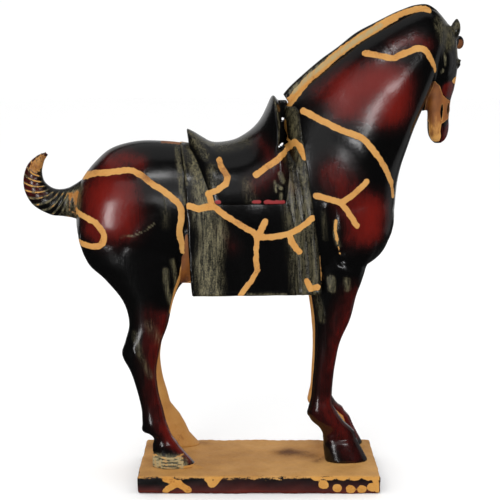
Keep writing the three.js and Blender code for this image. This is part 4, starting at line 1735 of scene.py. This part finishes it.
@dataclass(frozen=True)
class Tail:
    """The curled tail with thin slanting ribs.

    Attributes:
        stations: Chords across the curl, a on its inner side and b on its outer side.
        rings: Rings of points from one station to the next.
        around: Points in a ring.
        spacing: Share of the run from one rib to the next.
        slant: How far along the run a rib's outer end leads its middle.
        first: Share of the run where the ribs begin.
        last: Where they end.
        proud: How far a rib stands out, in millimetres.
    """

    stations: Rows = (
        (-168, 300, -176, 246, 11, 0), (-187, 288, -188, 252, 13, 0), (-196, 283.5, -200, 254.5, 12.5, 0),
        (-205, 282.5, -213, 256, 12, 0), (-212.5, 285, -230, 265.5, 11, 0),
        (-218.6, 291, -238.6, 279.5, 10, 0), (-220.6, 300, -240, 293.5, 8.5, 0),
        (-219.2, 308, -235.5, 307.5, 7, 0), (-217, 313.8, -226, 316.5, 5, 0),
        (-214.6, 317.2, -217.4, 320, 2, 0),
    )
    rings: int = 30
    around: int = 96
    spacing: float = 0.0625
    slant: float = 0.08
    first: float = 0.19
    last: float = 0.93
    proud: float = 0.7

    def tube(self) -> Mesh:
        """Models the tail smooth, with each point's share of the run and place across the curl."""
        rows = curve_through(self.stations, self.rings)
        count = len(rows)
        angle = np.linspace(0, 2 * math.pi, self.around, endpoint=False)
        middle, half = (rows[:, 0:2] + rows[:, 2:4]) / 2, (rows[:, 0:2] - rows[:, 2:4]) / 2
        flat = middle[:, None] + half[:, None] * np.cos(angle)[:, None]
        side = rows[:, 4:5] * np.sin(angle)
        rings = np.dstack([flat[..., 0], side, flat[..., 1]])
        points = np.vstack([rings.reshape(-1, 3), rings[0].mean(0), rings[-1].mean(0)])
        faces = []
        for ring in range(count - 1):
            for k in range(self.around):
                here, there = ring * self.around + k, ring * self.around + (k + 1) % self.around
                faces.append((here, there, there + self.around, here + self.around))
        root, tip = count * self.around, count * self.around + 1
        last = (count - 1) * self.around
        for k in range(self.around):
            following = (k + 1) % self.around
            faces += [(root, following, k), (tip, last + k, last + following)]
        share = np.append(np.repeat(np.linspace(0, 1, count), self.around), (0.0, 1.0))
        along = np.append(np.tile(np.cos(angle), count), (0.0, 0.0))
        return Piece.mesh("tail_tube", STAND.to_world(points), faces, {"share": share, "along": along})

    def rib_tree(self, finish: Material) -> bpy.types.NodeTree:
        """Builds the geometry nodes that raise and colour the ribs.

        Args:
            finish: The tail's material.

        Returns:
            The tree, with inputs Spacing, Slant, First, Last and, in metres, Proud.
        """
        inputs = dict.fromkeys(("Spacing", "Slant", "First", "Last", "Proud"), "NodeSocketFloat")
        nodes = GeometryTree("tail_ribs", inputs)
        spacing, slant, first, last, proud = (Value(nodes, nodes.given[name]) for name in inputs)
        share, along = nodes.named("share"), nodes.named("along")
        run = share + along * slant
        phase = nodes.node("ShaderNodeMath", {"operation": "DIVIDE"}, {0: run - first, 1: spacing}).outputs[0]
        crest = (Value(nodes, phase) * (2 * math.pi)).cosine().step(0.2, 1.0)
        window = run.step(first - 0.03, first) * (1.0 - run.step(last, last + 0.04))
        faded = (1.0 - along.step(0.62, 0.95)) * along.step(-0.99, -0.8)
        rib = crest * window * faded
        outward = nodes.node("GeometryNodeInputNormal").outputs[0]
        sockets = {0: outward, "Scale": (rib - 0.3 * window) * proud}
        scaled = nodes.node("ShaderNodeVectorMath", {"operation": "SCALE"}, sockets).outputs[0]
        sockets = {"Geometry": nodes.given["Geometry"], "Offset": scaled}
        geometry = nodes.node("GeometryNodeSetPosition", {}, sockets).outputs[0]
        tip = share.step(0.6, 0.76) * (1.0 - share.step(0.93, 0.97)) * along.step(-0.8, -0.45)
        far_half = run.step(0.36, 0.5)
        root = share.step(0.05, 0.09) * (1.0 - share.step(0.16, 0.27)) * (1.0 - along.step(0.6, 0.95))
        colours = {
            "bare": (rib * (0.42 + far_half * 0.12)).most(tip * 0.56).most(root * 0.44),
            "olive": (rib * 1.7).most(tip * 0.35).most(root * 0.9),
            "red": far_half * 0.45 * (1.0 - along.step(0.3, 0.8)),
            "stain_and_shade": (root * 0.42).most(tip * 0.52),
        }
        for name, value in colours.items():
            geometry = nodes.store(geometry, name, value)
        return nodes.close(geometry, finish)

    def build(self, finish: Material) -> Object:
        """Models and dresses the tail."""
        values = {"Spacing": self.spacing, "Slant": self.slant, "First": self.first, "Last": self.last}
        values["Proud"] = self.proud * MM
        mesh = GeometryTree.run(self.rib_tree(finish), self.tube(), values, "tail")
        return Piece.settle(mesh, finish, "horse", Slot.LACQUER)


@dataclass(frozen=True)
class Saddle:
    """The saddle with cantle, seat, pommel and skirt.

    Attributes:
        stations: Chords with the rim at a and the other end buried in the barrel.
        skirt: Height of its lower edge above the soles.
        slot: Outline of the gap between the pommel's board and the withers.
        web: Chords across the thin wall left inside that gap.
        holes: What is cut right through horse and saddle there.
        room: Box that it is modelled in.
        step: Distance between points of the skin.
    """

    stations: Rows = (
        (-74, 344, -54, 200, 27, 0), (-66, 340, -47, 200, 44, 0), (-57, 334.5, -40, 200, 52, 0),
        (-48, 330, -33, 200, 54.4, 0), (-36, 330, -22, 200, 54.8, 0), (-23, 333, -10, 200, 54.8, 0),
        (-11, 340, 4, 200, 54.8, 0), (-3, 347, 13, 200, 54.8, 0), (3, 355, 21, 200, 54.6, 0),
        (8, 365, 27, 200, 54.2, 0), (12, 374, 31, 200, 53, 0), (15, 377, 34, 200, 49, 0),
        (20, 371, 38, 200, 44, 0),
    )
    skirt: float = 271.0
    slot: Rows = (
        (15.5, 322.5), (19.5, 350), (21.4, 366), (21.4, 400), (24.5, 400), (24.8, 347), (28, 337),
        (26.5, 329),
    )
    web: Rows = ((13, 372, 29, 372, 3, 0), (15, 350, 30, 350, 3, 0), (13, 316, 31, 316, 3.5, 0))
    holes: tuple[Form, ...] = (
        Rod(((19.3, -62, 356.2), (24.5, 0, 353.0), (29.8, 62, 349.8)), (1.4, 1.6, 2.0)),
        Rod(((15.2, -62, 328.4), (20.9, 0, 324.4), (26.6, 62, 320.2)), (1.1, 1.2, 1.6)),
        Rod(((17.0, -62, 330.0), (22.7, 0, 326.0), (28.5, 62, 321.8)), (1.3, 1.4, 1.8)),
        Rod(((18.8, -62, 331.6), (24.5, 0, 327.6), (30.3, 62, 323.4)), (1.2, 1.3, 1.7)),
    )
    room: Bounds = ((-80, -62, 264), (33, 62, 384))
    step: float = 1.35

    def build(self, finish: Material) -> Object:
        """Models and dresses the saddle."""
        clay = Clay(Grid.around(self.room, self.step))
        clay.add(Loft(self.stations))
        clay.press(Stroke(((-62, 322), (-42, 312), (-14, 318), (4, 336)), 4.0, -0.5))
        clay.keep(Level((0, 0, self.skirt), (0, 0, -1)))
        clay.cut(Outline(self.slot), 1.0)
        clay.add(Loft(self.web, fullness=6), 0.8)
        for hole in self.holes:
            clay.cut(hole, HOLE_RIM)
        return Piece.from_skin("saddle", clay.skin(2), SADDLE_PAINT, finish)


@dataclass(frozen=True)
class Hanging(Form):
    """The cloth over the back and straight down both sides, with upright folds along its front edge.

    Attributes:
        ridge: The back's line that it lies over, rows of x and z.
        front: Its front edge, rows of height and x.
        half_width: Half its width where it hangs.
        widest: Height below which it hangs straight.
        hem: Height of its lower edge.
        fold_depth: Depth of the folds.
        fold_width: From one fold to the next.
        folded: How far back from the front edge the folds go.
    """

    ridge: Rows
    front: Rows
    half_width: float = 54.0
    widest: float = 251.0
    hem: float = 178.6
    fold_depth: float = 1.5
    fold_width: float = 8.2
    folded: float = 30.0

    def bounds(self) -> Bounds:
        """The form's box."""
        return (-84, -self.half_width - 2, self.hem), (62, self.half_width + 2, 380)

    def folds(self, x: Array, z: Array) -> Array:
        """How far the cloth stands in from its widest, between its folds."""
        front = np.interp(z, *np.array(self.front)[::-1].T)
        back = front - x
        wave = 0.5 - 0.5 * np.cos(2 * math.pi * (back - 2.5) / self.fold_width)
        sway = 0.45 * (1 + np.sin(x * 0.16 + np.sin(z * 0.03)))
        deep = smooth(self.folded + 4, self.folded - 8, back)
        return self.fold_depth * wave**1.4 * deep + sway * (1 - deep)

    def distance(self, x: Array, y: Array, z: Array) -> Array:
        """Distances from its skin."""
        over = np.interp(x, *np.array(self.ridge).T) + 1
        half = self.half_width - self.folds(x, z)
        straight = np.abs(y) - half
        up = (z - self.widest) / (over - self.widest)
        reach = np.hypot(y / half, up)
        radius = np.hypot(y, z - self.widest)
        rounded = radius * (1 - 1 / np.maximum(reach, 1e-3))
        return np.maximum(np.where(z > self.widest, rounded, straight), self.hem - z)


@dataclass(frozen=True)
class SaddleCloth:
    """The saddle cloth, hanging clear of the belly.

    Attributes:
        outline: Its outline in the side view, down the rear edge and up the front edge to the withers.
        thickness: Of the cloth where it hangs.
        proud: How far it stands out from the withers.
        room: Box that it is modelled in.
        step: Distance between points of the skin.
    """

    outline: Rows = (
        (-83, 345), (-77.5, 306), (-76, 276), (-74.5, 235), (-72, 193), (-70.5, 178.6), (59.8, 178.6),
        (57.5, 213), (54.5, 240), (49.5, 275), (43, 325), (39, 362), (36, 366), (24, 366),
    )
    thickness: float = 5.0
    proud: float = 2.5
    room: Bounds = ((-86, -60, 174), (64, 60, 372))
    step: float = 1.35

    def build(self, body: Body, saddle: Saddle, finish: Material) -> Object:
        """Models and dresses the cloth."""
        ridge = curve_through(tuple(row[:2] for row in body.stations[5:11]), 8)
        front = tuple((z, x) for x, z in self.outline[6:12])[::-1]
        form = Hanging(tuple(map(tuple, ridge)), front)
        clay = Clay(Grid.around(self.room, self.step))
        clay.add(form)
        clay.press(Stroke(((-71, 181.5), (-20, 181), (58, 181.5)), 1.8, 0.6))
        inner = form.half_width - form.fold_depth - self.thickness
        low, high, end = form.hem - 50, form.widest, 200
        hollow = Outline(((-end, low), (end, low), (end, high), (-end, high)), inner)
        clay.cut(hollow, 0)
        clay.add(body.withers(9, 15, self.proud), 1.5)
        clay.keep(Outline(self.outline))
        clay.cut(Outline(saddle.slot), 1.0)
        for hole in saddle.holes:
            clay.cut(hole, HOLE_RIM)
        return Piece.from_skin("saddle_cloth", clay.skin(2), CLOTH_PAINT, finish)


@dataclass(frozen=True)
class Slab(Form):
    """A block with rounded edges, a little uneven by hand."""

    low: Place
    high: Place
    rounding: float = 2.2
    uneven: float = 0.5

    def bounds(self) -> Bounds:
        """The form's box."""
        return self.low, self.high

    def distance(self, x: Array, y: Array, z: Array) -> Array:
        """Distances from its skin."""
        offs = []
        for value, low, high in zip((x, y, z), self.low, self.high):
            offs.append(np.abs(value - (low + high) / 2) - (high - low) / 2 + self.rounding)
        outside = np.sqrt(sum(np.maximum(off, 0) ** 2 for off in offs))
        inside = np.minimum(np.maximum(np.maximum(offs[0], offs[1]), offs[2]), 0)
        wave = np.sin(x * 0.11 + 1.3 * np.sin(y * 0.07)) + 0.6 * np.sin(y * 0.19 + x * 0.05 + z * 0.3)
        dents = np.sin(x * 0.43 + 2.1) * np.sin(z * 0.5 + x * 0.21) * np.sin(y * 0.37 + 0.5)
        return outside + inside - self.rounding + self.uneven * (0.5 * wave + 0.6 * dents + 0.3)


@dataclass(frozen=True)
class Plinth:
    """The slab, with clay drawn up round the hooves and crumbs of it beside them.

    Attributes:
        spread: How far the slab's ends stand out past the plain block.
        border: Height above the underside where the dark edge ends.
        collar: How far the clay reaches past a hoof.
        rise: How far it stands up round the hoof.
        sunk: How far below the slab's top its middle is.
        lumps: Further clay by the near hind hoof: middle, half size and blend.
        crumb: Half size of the largest crumb.
        crumbs: Crumbs for each square centimetre beside a hoof.
        strewn: Between which distances from a hoof they lie.
        seed: For the crumbs' places.
        step: Distance between points of the skin.
    """

    spread: float = 1.3
    border: float = 16.4
    collar: float = 3.2
    rise: float = 1.9
    sunk: float = 0.2
    lumps: tuple[tuple[Row, Row, float], ...] = (((-68, -23), (9, 11, 1.4), 2), ((-66, -34), (9, 6, 2.6), 3))
    crumb: float = 0.9
    crumbs: float = 5.0
    strewn: tuple[float, float] = (1.0, 7.0)
    seed: int = 7
    step: float = 1.4

    def hooves(self, legs: Legs) -> list[tuple[float, float, float, float]]:
        """Each hoof on the slab: middle x, middle y, half length and half width, in millimetres."""
        found = []
        for x, y, half_length, half_width in legs.soles():
            place = STAND.to_world(np.array([[x, y, 0.0]]))[0] / MM
            found.append((place[0], place[1], half_length, half_width))
        return found

    def slab(self, legs: Legs, finish: Material) -> Object:
        """Models and dresses the slab."""
        low, high = (np.array(corner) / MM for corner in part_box("plinth"))
        low, high = low - (self.spread, 0, 0), high + (self.spread, 0, 0)
        clay = Clay(Grid.around((tuple(low - 4), tuple(high + (4, 4, 8))), self.step))
        clay.add(Slab(tuple(low), tuple(high)))
        for x, y, half_length, half_width in self.hooves(legs):
            size = (half_length + self.collar, half_width + self.collar, self.rise)
            clay.add(Egg((x, y, high[2] - self.sunk), size), 3)
        for (x, y), size, blend in self.lumps:
            clay.add(Egg((x, y, high[2] - self.sunk), size), blend)
        skin = clay.skin(2)
        masks = SLAB_PAINT.masks(skin.points)
        x, y, z = skin.points.T
        masks["line"] *= skin.normals()[:, 1] < -0.6
        # Sooty patches, and a painted shadow beside the near forehoof, on the slab's top
        soot_and_shadow = np.maximum.reduce([wash.amount(x, -np.ones_like(y), y) for wash in SLAB_SOOT_AND_SHADOW])
        on_top = z > high[2] - 2.5
        masks["red"] = np.where(on_top, soot_and_shadow, smooth(-40, -105, x) * smooth(2, 14, z))
        inward = np.minimum(np.minimum(x - low[0], high[0] - x), np.minimum(y - low[1], high[1] - y))
        above = z - self.border + np.clip(inward - 1, 0, 40) * 0.36
        masks["edge"] = np.clip(SlipFinish.clear - above, 0, 40)
        mesh = Piece.mesh("slab", skin.points * MM, skin.faces.tolist(), masks)
        return Piece.settle(mesh, finish, "plinth", Slot.SLIP)

    def crumb_tree(self, finish: Material) -> bpy.types.NodeTree:
        """Builds the geometry nodes that scatter crumbs on a ground.

        Args:
            finish: The crumbs' material.

        Returns:
            The tree, with inputs Density, Size and Seed.
        """
        inputs = {"Density": "NodeSocketFloat", "Size": "NodeSocketFloat", "Seed": "NodeSocketInt"}
        nodes = GeometryTree("clay_crumbs", inputs)
        density, size, seed = (nodes.given[name] for name in inputs)

        def chance(low: Place, high: Place) -> Socket:
            """Three random values for each crumb."""
            sockets = {"Min": low, "Max": high, "Seed": seed}
            return nodes.node("FunctionNodeRandomValue", {"data_type": "FLOAT_VECTOR"}, sockets).outputs[0]

        sockets = {"Mesh": nodes.given["Geometry"], "Density": density, "Seed": seed}
        settings = {"distribute_method": "RANDOM"}
        points = nodes.node("GeometryNodeDistributePointsOnFaces", settings, sockets).outputs[0]
        lump = nodes.node("GeometryNodeMeshIcoSphere", {}, {"Radius": 1.0, "Subdivisions": 2}).outputs[0]
        sockets = {0: chance((0.35, 0.35, 0.25), (1.0, 0.8, 0.5)), "Scale": size}
        scale = nodes.node("ShaderNodeVectorMath", {"operation": "SCALE"}, sockets).outputs[0]
        spin = chance((0.0, 0.0, 0.0), (0.3, 0.3, 6.28))
        sockets = {"Points": points, "Instance": lump, "Rotation": spin, "Scale": scale}
        placed = nodes.node("GeometryNodeInstanceOnPoints", {}, sockets)
        return nodes.close(placed.outputs[0], finish)

    def crumb_piece(self, legs: Legs, finish: Material) -> Object:
        """Scatters crumbs of clay in a ring round each hoof."""
        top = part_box("plinth")[1].z
        points, faces = [], []
        around = 32
        for x, y, half_length, half_width in self.hooves(legs):
            first = len(points)
            for reach in self.strewn:
                for cos, sin in circle(around):
                    place = (x + (half_length + reach) * cos, y + (half_width + reach) * sin)
                    points.append((place[0] * MM, place[1] * MM, top))
            for k in range(around):
                following = (k + 1) % around
                faces.append((first + k, first + around + k, first + around + following, first + following))
        ground = bpy.data.meshes.new("hoof_rings")
        ground.from_pydata(points, [], faces)
        values = {"Density": self.crumbs * 1e4, "Size": self.crumb * MM, "Seed": self.seed}
        mesh = GeometryTree.run(self.crumb_tree(finish), ground, values, "clay_crumbs")
        return Piece.settle(mesh, finish, "plinth", Slot.SLIP)

    def build(self, legs: Legs, finish: Material) -> list[Object]:
        """Models and dresses the plinth."""
        return [self.slab(legs, finish), self.crumb_piece(legs, finish)]


class Lit(Enum):
    """What a light is for."""

    GLOSS = "mirrored in the lacquer"
    COLOUR = "on matt colour"


@dataclass(frozen=True)
class SoftBox:
    """A soft light that faces the horse.

    Attributes:
        name: Its name.
        place: Its middle, in metres.
        width: Its width.
        height: Its height.
        power: In watts.
        lit: What it is for.
    """

    name: str
    place: Place
    width: float
    height: float
    power: float
    lit: Lit = Lit.GLOSS

    def light(self, target: Place) -> None:
        """Puts the light up, facing a target."""
        lamp = bpy.data.lights.new(self.name, "AREA")
        lamp.shape = "RECTANGLE"
        lamp.size, lamp.size_y = self.width, self.height
        lamp.energy = self.power
        holder = put(self.name, lamp)
        away = np.array(self.place) - target
        holder.location = self.place
        lean, heading = math.acos(away[2] / np.linalg.norm(away)), math.atan2(away[1], away[0])
        holder.rotation_euler = (lean, 0, heading + math.pi / 2)
        holder.visible_camera = False
        holder.visible_glossy = self.lit is Lit.GLOSS
        holder.visible_diffuse = self.lit is Lit.COLOUR


@dataclass(frozen=True)
class Studio:
    """Floor, lights and camera.

    Attributes:
        camera: The camera's place, in metres.
        tilt: Its turn up from looking straight down, in degrees.
        lens: Its lens for a 36 mm frame.
        target: What the lights face.
        lights: The soft boxes.
        room_light: Brightness of the room as it lights floor and horse.
        backdrop: Brightness of the room as the camera sees it.
        mirrored: Brightness of the room as the lacquer mirrors it.
    """

    camera: Place = (-0.009, -1.3617, 0.4383)
    tilt: float = 81.65
    lens: float = 96.48
    target: Place = (0.0, 0.0, 0.26)
    lights: tuple[SoftBox, ...] = (
        SoftBox("window", (-0.62, -1.35, 0.42), 0.19, 0.8, 7.2),
        SoftBox("panel", (0.64, -1.38, 0.82), 0.52, 0.14, 3.3),
        SoftBox("lamp", (0.2, -1.05, 1.42), 0.13, 0.13, 1.3),
        SoftBox("wall", (0.05, -1.47, 1.25), 1.5, 0.9, 2.4),
        SoftBox("ceiling", (-0.1, 0.2, 1.7), 2.0, 1.6, 4.0),
        SoftBox("right", (2.0, 0.75, 0.5), 1.4, 2.4, 2.6),
        SoftBox("behind", (0.0, 2.2, 1.0), 4.0, 2.4, 19.0),
        SoftBox("fill", (-0.4, -1.6, 1.1), 1.2, 1.2, 12.0, Lit.COLOUR),
    )
    room_light: float = 1.05
    backdrop: float = 1.02
    mirrored: float = 0.03

    def floor(self) -> None:
        """Lays a wide pale floor."""
        ring = 96
        reach = 12.0
        points = [(0.0, 0.0, 0.0), *((reach * cos, reach * sin, 0.0) for cos, sin in circle(ring))]
        faces = [(0, 1 + k, 1 + (k + 1) % ring) for k in range(ring)]
        mesh = bpy.data.meshes.new("floor")
        mesh.from_pydata(points, [], faces)
        shader = Shader("pale_floor")
        grain = shader.noise((300, 300, 300), 2.0)
        sockets = {"Base Color": (1.0, 1.0, 1.0), "Roughness": 0.85 + (grain - 0.5) * 0.1, "IOR": 1.2}
        mesh.materials.append(shader.finish(sockets, grain, 0.02))
        floor = put("floor", mesh)
        floor.visible_glossy = False

    def room(self) -> None:
        """Lights the room evenly, and dims it where the lacquer mirrors it."""
        world = bpy.data.worlds.new("room")
        bpy.context.scene.world = world
        world.use_nodes = True
        tree = Tree(world.node_tree)
        path = tree.node("ShaderNodeLightPath").outputs
        seen, mirrored = Value(tree, path["Is Camera Ray"]), Value(tree, path["Is Glossy Ray"])
        strength = self.room_light - mirrored * (self.room_light - self.mirrored)
        strength = strength - seen * (self.room_light - self.backdrop)
        light = tree.node("ShaderNodeBackground", {}, {"Color": (1, 1, 1), "Strength": strength})
        tree.node("ShaderNodeOutputWorld", {}, {"Surface": light.outputs[0]})

    def build(self) -> None:
        """Sets up the studio."""
        lens = bpy.data.cameras.new("camera")
        lens.lens = self.lens
        lens.sensor_width = 36.0
        eye = put("camera", lens)
        eye.location = self.camera
        eye.rotation_euler = (math.radians(self.tilt), 0, 0)
        bpy.context.scene.camera = eye
        bpy.context.scene.view_settings.view_transform = "Standard"
        for box in self.lights:
            box.light(self.target)
        self.floor()
        self.room()


def main() -> None:
    """Builds the horse piece by piece, then its slab and the studio."""
    logging.basicConfig(level=logging.INFO, format="%(message)s")
    lacquer = LacquerFinish().build("lacquer")
    slip = SlipFinish().build("slip")
    body = Body()
    saddle = Saddle()
    body.build(saddle.holes, lacquer)
    Head().build(body, lacquer)
    Mane().build(lacquer)
    Tail().build(lacquer)
    saddle.build(lacquer)
    SaddleCloth().build(body, saddle, lacquer)
    Plinth().build(body.legs, slip)
    Studio().build()


if __name__ == "__main__":
    main()
